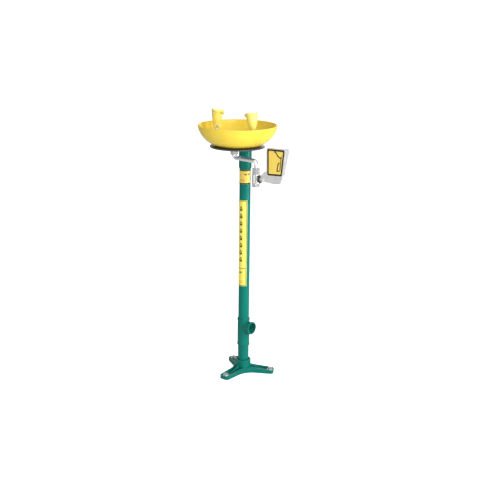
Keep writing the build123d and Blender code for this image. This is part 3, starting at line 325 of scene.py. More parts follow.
@dataclass(frozen=True)
class Finish:
    """A surface finish: two tones, a range of gloss, a fine relief and rubbed edges."""

    name: str
    tone: Colour
    deep_tone: Colour
    rough_low: float
    rough_high: float
    tone_scale: float = 9.0
    grain_scale: float = 60.0
    fineness: float = 900.0
    relief: float = 0.00004
    edge_radius: float = 0.0006
    rubbed_tone: Colour = (0.5, 0.5, 0.5)
    rubbed_reach: float = 0.3
    metallic: float = 0.0
    coat: float = 0.0
    coat_roughness: float = 0.05
    specular: float = 0.5
    subsurface: float = 0.0
    dust: float = 0.0
    dust_tone: Colour = (0.45, 0.43, 0.39)
    brushing: Brushing = Brushing.NONE

    def build(self, effects: Effects) -> bpy.types.Material:
        """Build the material.

        Args:
            effects: The shared shader node groups.

        Returns:
            The finished material.
        """
        material = bpy.data.materials.new(self.name)
        material.use_nodes = True
        sketch = TreeSketch(material.node_tree)
        place = sketch.add("ShaderNodeTexCoord").outputs["Object"]
        surface = sketch.add("ShaderNodeBsdfPrincipled")
        grain = sketch.add("ShaderNodeGroup", node_tree=effects.grain)
        sketch.feed(grain, Scale=self.grain_scale, Fineness=self.fineness)
        sketch.feed(grain, Low=self.rough_low, High=self.rough_high)
        edges = sketch.add("ShaderNodeGroup", node_tree=effects.edges)
        sketch.feed(edges, Radius=self.edge_radius, Reach=self.rubbed_reach)
        colour = self._tones(sketch, place)
        colour = sketch.blend(edges.outputs["Mask"], colour, self.rubbed_tone)
        if self.dust:
            dust = sketch.add("ShaderNodeGroup", node_tree=effects.dust)
            sketch.feed(dust, Amount=self.dust)
            colour = sketch.blend(dust.outputs["Mask"], colour, self.dust_tone)
        bump = sketch.add("ShaderNodeBump")
        height = self._height(sketch, place, grain.outputs["Height"])
        sketch.feed(bump, Strength=1.0, Distance=self.relief, Height=height, Normal=edges.outputs["Normal"])
        sketch.feed(surface, Base_Color=colour, Roughness=grain.outputs["Roughness"], Normal=bump.outputs[0])
        sketch.feed(surface, Metallic=self.metallic, Specular_IOR_Level=self.specular)
        sketch.feed(surface, Coat_Weight=self.coat, Coat_Roughness=self.coat_roughness)
        if self.subsurface:
            sketch.feed(surface, Subsurface_Weight=self.subsurface, Subsurface_Scale=0.004)
            surface.inputs["Subsurface Radius"].default_value = (1.0, 0.7, 0.2)
        end = sketch.add("ShaderNodeOutputMaterial")
        sketch.feed(end, Surface=surface.outputs[0])
        return material

    def _tones(self, sketch: TreeSketch, place: object) -> bpy.types.NodeSocket:
        """Mix the finish's two tones in broad soft patches.

        Args:
            sketch: The material's tree.
            place: The object coordinate's socket.

        Returns:
            The colour's socket.
        """
        patches = sketch.ramp(sketch.noise(place, self.tone_scale, 5.0), 0.0, 1.0, 0.3, 0.75)
        return sketch.blend(patches, self.tone, self.deep_tone)

    def _height(self, sketch: TreeSketch, place: object, height: object) -> bpy.types.NodeSocket:
        """Add brushed scratches to the grain's height.

        Args:
            sketch: The material's tree.
            place: The object coordinate's socket.
            height: The grain's height socket.

        Returns:
            The height to use.
        """
        if self.brushing is Brushing.NONE:
            return height
        mapping = sketch.add("ShaderNodeMapping")
        sketch.feed(mapping, Vector=place, Scale=self.brushing.value)
        scratches = sketch.noise(mapping.outputs[0], 1800.0, 4.0)
        return sketch.sum("ADD", scratches, sketch.sum("MULTIPLY", height, 0.3))


GREEN_COAT = Finish(
    "green_powder_coat", (0.0, 0.172, 0.135), (0.0, 0.152, 0.119), 0.2, 0.26, tone_scale=5.0,
    grain_scale=40.0, fineness=420.0, relief=0.00003, edge_radius=0.0009,
    rubbed_tone=(0.01, 0.24, 0.19), rubbed_reach=0.2, coat=0.12, coat_roughness=0.06, specular=0.14,
)
GREEN_CASTING = Finish(
    "green_coated_casting", (0.0, 0.175, 0.135), (0.0, 0.14, 0.108), 0.28, 0.38, tone_scale=12.0,
    grain_scale=70.0, fineness=260.0, relief=0.00016, edge_radius=0.0016,
    rubbed_tone=(0.01, 0.25, 0.2), rubbed_reach=0.25, coat=0.1, coat_roughness=0.08, specular=0.16,
    dust=0.02,
)
CHARCOAL_COAT = Finish(
    "charcoal_coat", (0.05, 0.053, 0.057), (0.035, 0.038, 0.042), 0.3, 0.42, tone_scale=8.0,
    fineness=420.0, relief=0.00007, rubbed_tone=(0.3, 0.3, 0.3), rubbed_reach=0.5, coat=0.2,
    coat_roughness=0.2,
)
YELLOW_SHELL = Finish(
    "yellow_moulding", (0.9, 0.68, 0.07), (0.87, 0.64, 0.055), 0.2, 0.3, tone_scale=6.0,
    grain_scale=30.0, fineness=700.0, relief=0.00002, edge_radius=0.0009,
    rubbed_tone=(0.95, 0.83, 0.3), rubbed_reach=0.3, coat=0.12, coat_roughness=0.12, specular=0.3,
    subsurface=0.1,
)
YELLOW_HEAD = Finish(
    "yellow_head_moulding", (0.9, 0.78, 0.2), (0.88, 0.74, 0.16), 0.24, 0.34, tone_scale=22.0,
    grain_scale=80.0, fineness=900.0, relief=0.00003, edge_radius=0.0007,
    rubbed_tone=(0.96, 0.87, 0.4), rubbed_reach=0.3, coat=0.2, coat_roughness=0.15, subsurface=0.12,
)
CHROME_PLATE = Finish(
    "chrome_plate", (0.93, 0.935, 0.95), (0.87, 0.875, 0.89), 0.06, 0.16, tone_scale=30.0,
    grain_scale=45.0, fineness=300.0, relief=0.00001, edge_radius=0.0005,
    rubbed_tone=(0.8, 0.8, 0.8), rubbed_reach=0.15, metallic=0.82,
)
STAINLESS_SHEET = Finish(
    "brushed_stainless", (0.88, 0.88, 0.89), (0.8, 0.8, 0.82), 0.26, 0.38, tone_scale=18.0,
    grain_scale=60.0, relief=0.00002, edge_radius=0.0005, rubbed_tone=(0.88, 0.88, 0.88),
    rubbed_reach=0.4, metallic=0.8, brushing=Brushing.ALONG_Z,
)
CAST_ALLOY = Finish(
    "satin_cast_alloy", (0.72, 0.72, 0.72), (0.66, 0.66, 0.67), 0.36, 0.5, tone_scale=25.0,
    grain_scale=90.0, fineness=500.0, relief=0.00008, edge_radius=0.0009,
    rubbed_tone=(0.85, 0.85, 0.85), rubbed_reach=0.4, metallic=0.5, brushing=Brushing.ALONG_X,
)
ZINC_PLATE = Finish(
    "zinc_plate", (0.72, 0.73, 0.74), (0.58, 0.6, 0.62), 0.25, 0.42, tone_scale=70.0,
    grain_scale=120.0, relief=0.00003, rubbed_tone=(0.85, 0.85, 0.85), rubbed_reach=0.4,
    metallic=1.0,
)
BRASS = Finish("brass", (0.72, 0.5, 0.2), (0.6, 0.4, 0.14), 0.22, 0.34, tone_scale=60.0, metallic=1.0)
RUBBER = Finish(
    "black_rubber", (0.018, 0.018, 0.019), (0.01, 0.01, 0.01), 0.6, 0.78, tone_scale=60.0,
    fineness=1200.0, rubbed_tone=(0.08, 0.08, 0.08), dust=0.1,
)
SEAL = Finish("white_seal", (0.85, 0.85, 0.82), (0.8, 0.8, 0.77), 0.4, 0.5, tone_scale=60.0, subsurface=0.1)
# Black moulding of the flow regulators. On the stem spacer the black is painted shade: it stands in for the
# shade and dark reflection at the handle's hub.
BLACK_MOULDING_AND_PAINTED_SHADE = Finish(
    "black_moulding_and_painted_shade", (0.02, 0.02, 0.022), (0.012, 0.012, 0.013), 0.35, 0.5, tone_scale=50.0,
    rubbed_tone=(0.12, 0.12, 0.12), rubbed_reach=0.5,
)
FOAM = Finish(
    "filter_foam", (0.08, 0.08, 0.085), (0.03, 0.03, 0.03), 0.8, 0.95, tone_scale=900.0,
    fineness=1500.0, relief=0.0004,
)
LABEL_AMBER = Finish(
    "amber_label_film", (0.95, 0.71, 0.13), (0.93, 0.67, 0.11), 0.3, 0.4, tone_scale=40.0,
    fineness=600.0, relief=0.00002, edge_radius=0.0001, rubbed_tone=(0.9, 0.7, 0.3),
)
LABEL_YELLOW = Finish(
    "yellow_label_film", (0.93, 0.8, 0.13), (0.92, 0.76, 0.12), 0.3, 0.4, tone_scale=30.0,
    fineness=600.0, relief=0.00002, edge_radius=0.0001, rubbed_tone=(0.95, 0.88, 0.4),
)


def ink_finish(ink: PrintInk) -> Finish:
    """The finish of an ink.

    Args:
        ink: The ink.

    Returns:
        A satin finish with slightly uneven cover.
    """
    tone = ink.value
    faded = tuple(channel * 0.75 for channel in tone)
    return Finish(f"{ink.name.lower()}_ink", tone, faded, 0.34, 0.46, tone_scale=300.0, relief=0.00001)


# Printed shapes


def circle(radius: float, count: int = 32) -> list[Point]:
    """Points round a circle, counterclockwise."""
    turns = [2 * math.pi * step / count for step in range(count)]
    return [(radius * math.cos(turn), radius * math.sin(turn)) for turn in turns]


def drop(width: float, height: float, count: int = 40) -> list[Point]:
    """Outline of a water drop with its point at the top.

    Args:
        width: Across its round end.
        height: From its round end to its point.
        count: Points in the outline.

    Returns:
        The outline, counterclockwise.
    """
    outline = []
    for step in range(count):
        turn = 2 * math.pi * step / count
        narrowing = math.sin(turn / 2) ** 1.6
        outline.append((-width / 2 * math.sin(turn) * narrowing * 1.16, height / 2 * math.cos(turn)))
    return outline


def almond(width: float, height: float, count: int = 40) -> list[Point]:
    """Outline of an eye, counterclockwise."""
    outline = []
    for step in range(count):
        turn = 2 * math.pi * step / count
        rise = math.sin(turn) * abs(math.sin(turn)) ** 0.35
        outline.append((width / 2 * math.cos(turn), height / 2 * rise))
    return outline


def capsule(start: Point, end: Point, width: float, count: int = 10) -> list[Point]:
    """Outline of a straight stroke with round ends.

    Args:
        start: Middle of the first end.
        end: Middle of the last end.
        width: Across the stroke.
        count: Points round each end.

    Returns:
        The outline, counterclockwise.
    """
    heading = math.atan2(end[1] - start[1], end[0] - start[0])
    outline = []
    for middle, side in ((end, -math.pi / 2), (start, math.pi / 2)):
        for step in range(count + 1):
            turn = heading + side + math.pi * step / count
            outline.append((middle[0] + width / 2 * math.cos(turn), middle[1] + width / 2 * math.sin(turn)))
    return outline


def inset_corners(corners: Sequence[Point], inset: float) -> list[Point]:
    """Corners of a counterclockwise polygon with every side moved inwards.

    Args:
        corners: The polygon's corners.
        inset: How far each side moves.

    Returns:
        The new corners.
    """
    shifted = []
    count = len(corners)
    for index in range(count):
        before, here, after = (Vector(corners[(index + shift) % count]) for shift in (-1, 0, 1))
        first = (here - before).normalized()
        second = (after - here).normalized()
        inward = Vector((-first.y, first.x)) + Vector((-second.y, second.x))
        reach = inset / (1 + first.dot(second))
        shifted.append(tuple(here + inward * reach))
    return shifted


def rounded(corners: Sequence[Point], radius: float, steps: int, count: int = 6) -> list[Point]:
    """Outline of a polygon with rounded corners and evenly divided sides.

    Args:
        corners: The corners, counterclockwise.
        radius: The corners' radius.
        steps: Steps along each side.
        count: Steps round each corner.

    Returns:
        The outline, counterclockwise. Its number of points depends only on the corners and steps.
    """
    outline = []
    total = len(corners)
    for index in range(total):
        before, here, after = (Vector(corners[(index + shift) % total]) for shift in (-1, 0, 1))
        first = (here - before).normalized()
        second = (after - here).normalized()
        half_turn = math.atan2(first.x * second.y - first.y * second.x, first.dot(second)) / 2
        start = here - first * radius * math.tan(half_turn)
        middle = start + Vector((-first.y, first.x)) * radius
        for step in range(count + 1):
            spin = Matrix.Rotation(2 * half_turn * step / count, 2)
            outline.append(tuple(middle + spin @ (start - middle)))
        ahead = Vector(corners[(index + 2) % total])
        third = (ahead - after).normalized()
        next_half_turn = math.atan2(second.x * third.y - second.y * third.x, second.dot(third)) / 2
        leave = here + second * radius * math.tan(half_turn)
        arrive = after - second * radius * math.tan(next_half_turn)
        outline += [tuple(leave.lerp(arrive, step / steps)) for step in range(1, steps)]
    return outline


def moved(outline: Sequence[Point], across: float, up: float) -> list[Point]:
    """An outline at another place."""
    return [(x + across, y + up) for x, y in outline]


def shrunk(outline: Sequence[Point], share: float) -> list[Point]:
    """An outline drawn in towards its middle."""
    middle = sum((Vector(point) for point in outline), Vector((0, 0))) / len(outline)
    return [tuple(middle.lerp(Vector(point), share)) for point in outline]


@dataclass
class InkSheet:
    """Thin closed shapes laid on a label.

    Attributes:
        name: Name of the finished piece.
        place: Gives the point for a distance across, a height and a distance off the label.
        proud: How far the ink stands off the label.
        loops: Steps across a line, so that it follows the pole.
        solid_loops: Steps from a filled shape's edge to its middle.
    """

    name: str
    place: Callable[[float, float, float], Vector]
    proud: float = 0.00012
    loops: int = 4
    solid_loops: int = 10
    mesh: bmesh.types.BMesh = field(default_factory=bmesh.new)

    def _loop(self, outline: Sequence[Point], off: float) -> list[bmesh.types.BMVert]:
        """Add one loop of vertices."""
        return [self.mesh.verts.new(self.place(x, y, off)) for x, y in outline]

    def _band(self, outer: list, inner: list) -> None:
        """Join two loops of the same length with faces."""
        count = len(outer)
        for index in range(count):
            following = (index + 1) % count
            self.mesh.faces.new((outer[index], outer[following], inner[following], inner[index]))

    def _disc(self, loop: list, middle: bmesh.types.BMVert, outwards: bool) -> None:
        """Close a loop with triangles to its middle."""
        for index, vertex in enumerate(loop):
            following = loop[(index + 1) % len(loop)]
            self.mesh.faces.new((vertex, following, middle) if outwards else (following, vertex, middle))

    def ring(self, outer: Sequence[Point], inner: Sequence[Point]) -> None:
        """Lay a line between two outlines with the same number of points."""
        outlines = []
        for step in range(self.loops + 1):
            share = step / self.loops
            outlines.append([tuple(Vector(a).lerp(Vector(b), share)) for a, b in zip(outer, inner)])
        top = [self._loop(outline, self.proud) for outline in outlines]
        base = [self._loop(outline, 0.0) for outline in outlines]
        for index in range(self.loops):
            self._band(top[index], top[index + 1])
            self._band(base[index + 1], base[index])
        self._band(base[0], top[0])
        self._band(top[-1], base[-1])

    def solid(self, outline: Sequence[Point]) -> None:
        """Lay a filled shape."""
        shares = [1 - step / self.solid_loops for step in range(self.solid_loops)]
        top = [self._loop(shrunk(outline, share), self.proud) for share in shares]
        base = [self._loop(shrunk(outline, share), 0.0) for share in shares]
        self._band(base[0], top[0])
        for index in range(len(shares) - 1):
            self._band(top[index], top[index + 1])
            self._band(base[index + 1], base[index])
        middle = shrunk(outline, 0.0)[0]
        self._disc(top[-1], self.mesh.verts.new(self.place(*middle, self.proud)), True)
        self._disc(base[-1], self.mesh.verts.new(self.place(*middle, 0.0)), False)

    def finish(self, material: bpy.types.Material) -> bpy.types.Object:
        """Turn the shapes into one object.

        Args:
            material: The ink's material.

        Returns:
            The object, at the origin.
        """
        data = bpy.data.meshes.new(self.name)
        self.mesh.normal_update()
        self.mesh.to_mesh(data)
        self.mesh.free()
        data.materials.append(material)
        piece = bpy.data.objects.new(self.name, data)
        bpy.context.scene.collection.objects.link(piece)
        return piece


# Geometry trees


def geometry_tree(name: str, inputs: dict[str, tuple[str, object]]) -> tuple[TreeSketch, object, object]:
    """Start a geometry node tree.

    Args:
        name: The tree's name.
        inputs: Each input's name with its socket type and default.

    Returns:
        The sketch of the tree, its input node and its output node.
    """
    tree = bpy.data.node_groups.new(name, "GeometryNodeTree")
    tree.interface.new_socket(name="Geometry", in_out="INPUT", socket_type="NodeSocketGeometry")
    for title, (kind, value) in inputs.items():
        socket = tree.interface.new_socket(name=title, in_out="INPUT", socket_type=kind)
        if value is not None:
            socket.default_value = value
    tree.interface.new_socket(name="Geometry", in_out="OUTPUT", socket_type="NodeSocketGeometry")
    sketch = TreeSketch(tree)
    return sketch, sketch.add("NodeGroupInput"), sketch.add("NodeGroupOutput")


def run_tree(
    tree: bpy.types.NodeTree, name: str, values: dict[str, object], source: bpy.types.Mesh | None = None
) -> bpy.types.Object:
    """Run a geometry tree and keep its result as a plain mesh.

    Args:
        tree: The tree.
        name: Name of the new piece.
        values: A value for each named input.
        source: The mesh that the tree starts from.

    Returns:
        The new piece, at the origin and with no modifier.
    """
    piece = bpy.data.objects.new(name, source or bpy.data.meshes.new(name))
    bpy.context.scene.collection.objects.link(piece)
    modifier = piece.modifiers.new(tree.name, "NODES")
    modifier.node_group = tree
    for item in tree.interface.items_tree:
        if item.item_type == "SOCKET" and item.in_out == "INPUT" and item.name in values:
            modifier[item.identifier] = values[item.name]
    bpy.context.view_layer.update()
    shown = piece.evaluated_get(bpy.context.evaluated_depsgraph_get())
    result = bpy.data.meshes.new_from_object(shown)
    piece.modifiers.remove(modifier)
    piece.data = result
    return piece


class GrowthTrees:
    """Geometry trees for what repeats or follows a path."""

    def __init__(self) -> None:
        """Build the trees."""
        self.thread = self._thread()
        self.column = self._column()

    @staticmethod
    def _thread() -> bpy.types.NodeTree:
        """Build the tree of a screw thread's ridge on the Z axis.

        Returns:
            The tree.
        """
        sketch, given, result = geometry_tree(
            "thread_ridge",
            {
                "Radius": ("NodeSocketFloat", 0.02),
                "Pitch": ("NodeSocketFloat", 0.0022),
                "Turns": ("NodeSocketFloat", 6.0),
                "Depth": ("NodeSocketFloat", 0.0006),
                "Material": ("NodeSocketMaterial", None),
            },
        )
        wanted = given.outputs
        spiral = sketch.add("GeometryNodeCurveSpiral")
        sketch.feed(spiral, Resolution=48, Rotations=wanted["Turns"], Start_Radius=wanted["Radius"])
        height = sketch.sum("MULTIPLY", wanted["Pitch"], wanted["Turns"])
        sketch.feed(spiral, End_Radius=wanted["Radius"], Height=height)
        profile = sketch.add("GeometryNodeCurvePrimitiveCircle")
        sketch.feed(profile, Resolution=4, Radius=wanted["Depth"])
        ridge = sketch.add("GeometryNodeCurveToMesh")
        sketch.feed(ridge, Curve=spiral.outputs[0], Profile_Curve=profile.outputs[0], Fill_Caps=True)
        finish_tree(sketch, ridge.outputs[0], wanted["Material"], result)
        return sketch.tree

    @staticmethod
    def _column() -> bpy.types.NodeTree:
        """Build the tree that repeats a mark downwards at even steps.

        Returns:
            The tree.
        """
        sketch, given, result = geometry_tree(
            "mark_column",
            {
                "Count": ("NodeSocketInt", 8),
                "Step": ("NodeSocketVector", (0.0, 0.0, -0.028)),
                "Material": ("NodeSocketMaterial", None),
            },
        )
        line = sketch.add("GeometryNodeMeshLine")
        sketch.feed(line, Count=given.outputs["Count"], Offset=given.outputs["Step"])
        copies = sketch.add("GeometryNodeInstanceOnPoints")
        sketch.feed(copies, Points=line.outputs[0], Instance=given.outputs["Geometry"])
        finish_tree(sketch, copies.outputs[0], given.outputs["Material"], result)
        return sketch.tree


def finish_tree(sketch: TreeSketch, shape: object, material: object, result: bpy.types.Node) -> None:
    """End a geometry tree with real geometry in its material.

    Args:
        sketch: The tree's sketch.
        shape: The geometry's socket.
        material: The material's socket.
        result: The tree's output node.
    """
    real = sketch.feed(sketch.add("GeometryNodeRealizeInstances"), Geometry=shape)
    dressed = sketch.feed(sketch.add("GeometryNodeSetMaterial"), Geometry=real.outputs[0], Material=material)
    sketch.feed(result, Geometry=dressed.outputs[0])


# Sub-assemblies


@dataclass
class Assembly:
    """Part of the station: the CAD nodes it dresses and the pieces it adds."""

    nodes: Nodes
    palette: Palette
    trees: GrowthTrees

    def dress(self, finish: Finish, *names: str) -> None:
        """Give CAD nodes a finish.

        Args:
            finish: The finish.
            *names: The nodes.
        """
        material = self.palette.get(finish)
        for name in names:
            slots = self.nodes[name].material_slots
            for slot in slots:
                slot.material = material
            LOG.info("dressed %s in %s", name, finish.name)

    def keep(self, piece: bpy.types.Object, body: str, slot: str) -> None:
        """Attach a finished piece to the body that it rides on.

        Args:
            piece: The piece.
            body: The body that it rides on.
            slot: The record's material slot; not used.
        """
        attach(piece, body)
        LOG.info("made %s with %d faces", piece.name, len(piece.data.polygons))

    def thread(self, name: str, finish: Finish, place: Matrix, slot: str, **sizes: float) -> None:
        """Add a thread's ridge.

        Args:
            name: Name of the piece.
            finish: Its finish.
            place: Where the thread's axis stands.
            slot: The record's material slot.
            **sizes: The tree's Radius, Pitch, Turns and Depth.
        """
        values = {**sizes, "Material": self.palette.get(finish)}
        piece = run_tree(self.trees.thread, name, values)
        piece.data.transform(place)
        self.keep(piece, "root", slot)


@dataclass
class Pedestal(Assembly):
    """Floor base, pipes, waste tee, collar and the plate under the bowl.

    Attributes:
        waste_height: Height of the waste outlet's axis.
        waste_thread_radius: The outlet's thread.
        waste_thread_depth: How far the thread's ridge stands out.
        waste_thread_start: Turns between the outlet's face and the first ridge.
        waste_pitch: Between two ridges.
        waste_turns: Turns of the ridge.
    """

    waste_height: float = 0.1843
    waste_thread_radius: float = 20.1 * MM
    waste_thread_depth: float = 0.7 * MM
    waste_thread_start: float = 0.4
    waste_pitch: float = 0.0022
    waste_turns: float = 7.0

    def build(self) -> None:
        """Dress the pedestal and cut the waste outlet's thread."""
        self.dress(GREEN_CASTING, "floor_base", "waste_tee")
        self.dress(GREEN_COAT, "lower_nipple", "stand_pipe", "mounting_collar")
        self.dress(CHARCOAL_COAT, "support_plate")
        self.dress(ZINC_PLATE, "anchor_washers", "anchor_nuts")
        outlet_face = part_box("waste_tee")[1].x
        thread_start = outlet_face - self.waste_pitch * (self.waste_turns + self.waste_thread_start)
        place = Matrix.Translation((thread_start, 0.0, self.waste_height))
        place @= Matrix.Rotation(math.pi / 2, 4, "Y")
        self.thread(
            "waste_thread", GREEN_CASTING, place, "green_paint", Radius=self.waste_thread_radius,
            Pitch=self.waste_pitch, Turns=self.waste_turns, Depth=self.waste_thread_depth,
        )


@dataclass
class Basin(Assembly):
    """Bowl, drain and the supply shank's seal."""

    def build(self) -> None:
        """Dress the bowl and its drain."""
        self.dress(YELLOW_SHELL, "bowl")
        self.dress(CHROME_PLATE, "drain_body", "supply_shank", "shank_locknut", "shank_washer")
        self.dress(STAINLESS_SHEET, "drain_strainer", "strainer_screw")
        self.dress(RUBBER, "drain_gasket", "shank_gasket")


@dataclass
class SupplyRun(Assembly):
    """Bent tube, its nuts and the ball valve.

    Attributes:
        inlet_radius: The inlet's thread.
        inlet_depth: How far the thread's ridge stands out.
        inlet_pitch: Between two ridges.
        inlet_turns: Turns of the ridge.
    """

    inlet_radius: float = 9.9 * MM
    inlet_depth: float = 0.6 * MM
    inlet_pitch: float = 1.8 * MM
    inlet_turns: float = 6.0

    def build(self) -> None:
        """Dress the run and cut the inlet's thread."""
        self.dress(CHROME_PLATE, "supply_tube", "riser_nut", "valve_tube_nut", "valve_body", "valve_end_cap")
        self.dress(CHROME_PLATE, "gland_nut", "valve_ball")
        self.dress(STAINLESS_SHEET, "valve_stem")
        self.dress(BRASS, "tube_ferrules")
        self.dress(SEAL, "valve_seats", "stem_packing")
        low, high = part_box("valve_end_cap")
        centre = (low + high) / 2
        place = Matrix.Translation((centre.x, centre.y, low.z + self.inlet_depth))
        self.thread(
            "inlet_thread", CHROME_PLATE, place, "chrome", Radius=self.inlet_radius,
            Pitch=self.inlet_pitch, Turns=self.inlet_turns, Depth=self.inlet_depth,
        )


@dataclass
class PushHandle(Assembly):
    """Arm, flag and the pictogram on it.

    Attributes:
        stem: The stem's axis at the valve's axis.
        lean: Backward lean of the upright handle.
        label_front: The label's face in front of the stem's axis.
        corners: The label's corners from the stem, across and up.
        corner_radius: The label's corner radius.
        edge_gap: From the label's edge to its border line.
        line_width: Across the border line.
        inner_radius: The border's radius inside its corners.
        side_steps: Steps along each side of the border.
        wrist: Middle of the pictogram's upper dot, across and up.
        wrist_radius: Its radius.
        strokes: The pictogram's strokes, each from one point to another with its width.
    """

    stem: tuple[float, float, float] = (0.103, -0.065, 0.791)
    lean: float = math.radians(4.0)
    label_front: float = 3.4 * MM
    corners: tuple[Point, ...] = ((0.053, 0.019), (0.118, 0.023), (0.124, 0.117), (0.046, 0.114))
    corner_radius: float = 6.0 * MM
    edge_gap: float = 0.4 * MM
    line_width: float = 6.4 * MM
    inner_radius: float = 2.5 * MM
    side_steps: int = 20
    wrist: Point = (0.082, 0.106)
    wrist_radius: float = 3.6 * MM
    strokes: tuple[tuple[Point, Point, float], ...] = (
        ((0.086, 0.104), (0.096, 0.092), 4.6 * MM),
        ((0.096, 0.092), (0.107, 0.086), 4.4 * MM),
        ((0.110, 0.092), (0.108, 0.044), 3.6 * MM),
        ((0.098, 0.064), (0.095, 0.040), 4.2 * MM),
        ((0.095, 0.040), (0.104, 0.041), 4.2 * MM),
        ((0.103, 0.070), (0.098, 0.064), 4.2 * MM),
    )

    def place(self, across: float, up: float, off: float) -> Vector:
        """A point on the label.

        Args:
            across: Distance from the valve's axis.
            up: Height over the stem, along the handle.
            off: Distance off the label's face.

        Returns:
            The point in the frame.
        """
        spin = Matrix.Rotation(-self.lean, 3, "X")
        return Vector(self.stem) + spin @ Vector((across, -self.label_front - off, up))

    def build(self) -> None:
        """Dress the handle and print its label."""
        self.dress(CAST_ALLOY, "handle_arm")
        self.dress(STAINLESS_SHEET, "push_flag", "flag_rivets")
        self.dress(ZINC_PLATE, "handle_set_screw")
        # Painted shade: the stem spacer's black stands in for the shade at the handle's hub.
        self.dress(BLACK_MOULDING_AND_PAINTED_SHADE, "stem_spacer")
        self.dress(LABEL_AMBER, "flag_label")
        sheet = InkSheet("flag_pictogram", self.place)
        edge_corners = inset_corners(self.corners, self.edge_gap)
        edge = rounded(edge_corners, self.corner_radius - self.edge_gap, self.side_steps)
        inner_corners = inset_corners(self.corners, self.edge_gap + self.line_width)
        sheet.ring(edge, rounded(inner_corners, self.inner_radius, self.side_steps))
        self._print_push_mark(sheet)
        self.keep(sheet.finish(self.palette.get(ink_finish(PrintInk.BLACK))), "handle", "label_film")

    def _print_push_mark(self, sheet: InkSheet) -> None:
        """Print an arm that reaches for an upright paddle, and the paddle pushed over.

        Args:
            sheet: The sheet to print on.
        """
        for start, end, width in self.strokes:
            sheet.solid(capsule(start, end, width))
        sheet.solid(moved(circle(self.wrist_radius), *self.wrist))


@dataclass
class SprayYoke(Assembly):
    """Yoke, elbows and the two spray heads."""

    def build(self) -> None:
        """Dress the yoke and its heads."""
        self.dress(CHROME_PLATE, "yoke_tee")
        for side in ("left", "right"):
            self.dress(CHROME_PLATE, f"yoke_arm_{side}", f"yoke_elbow_{side}", f"head_nut_{side}")
            self.dress(YELLOW_HEAD, f"head_body_{side}", f"head_lid_{side}")
            self.dress(BLACK_MOULDING_AND_PAINTED_SHADE, f"flow_regulator_{side}")
            self.dress(FOAM, f"filter_disc_{side}")
            self.dress(STAINLESS_SHEET, f"spray_screen_{side}", f"lid_pin_{side}")


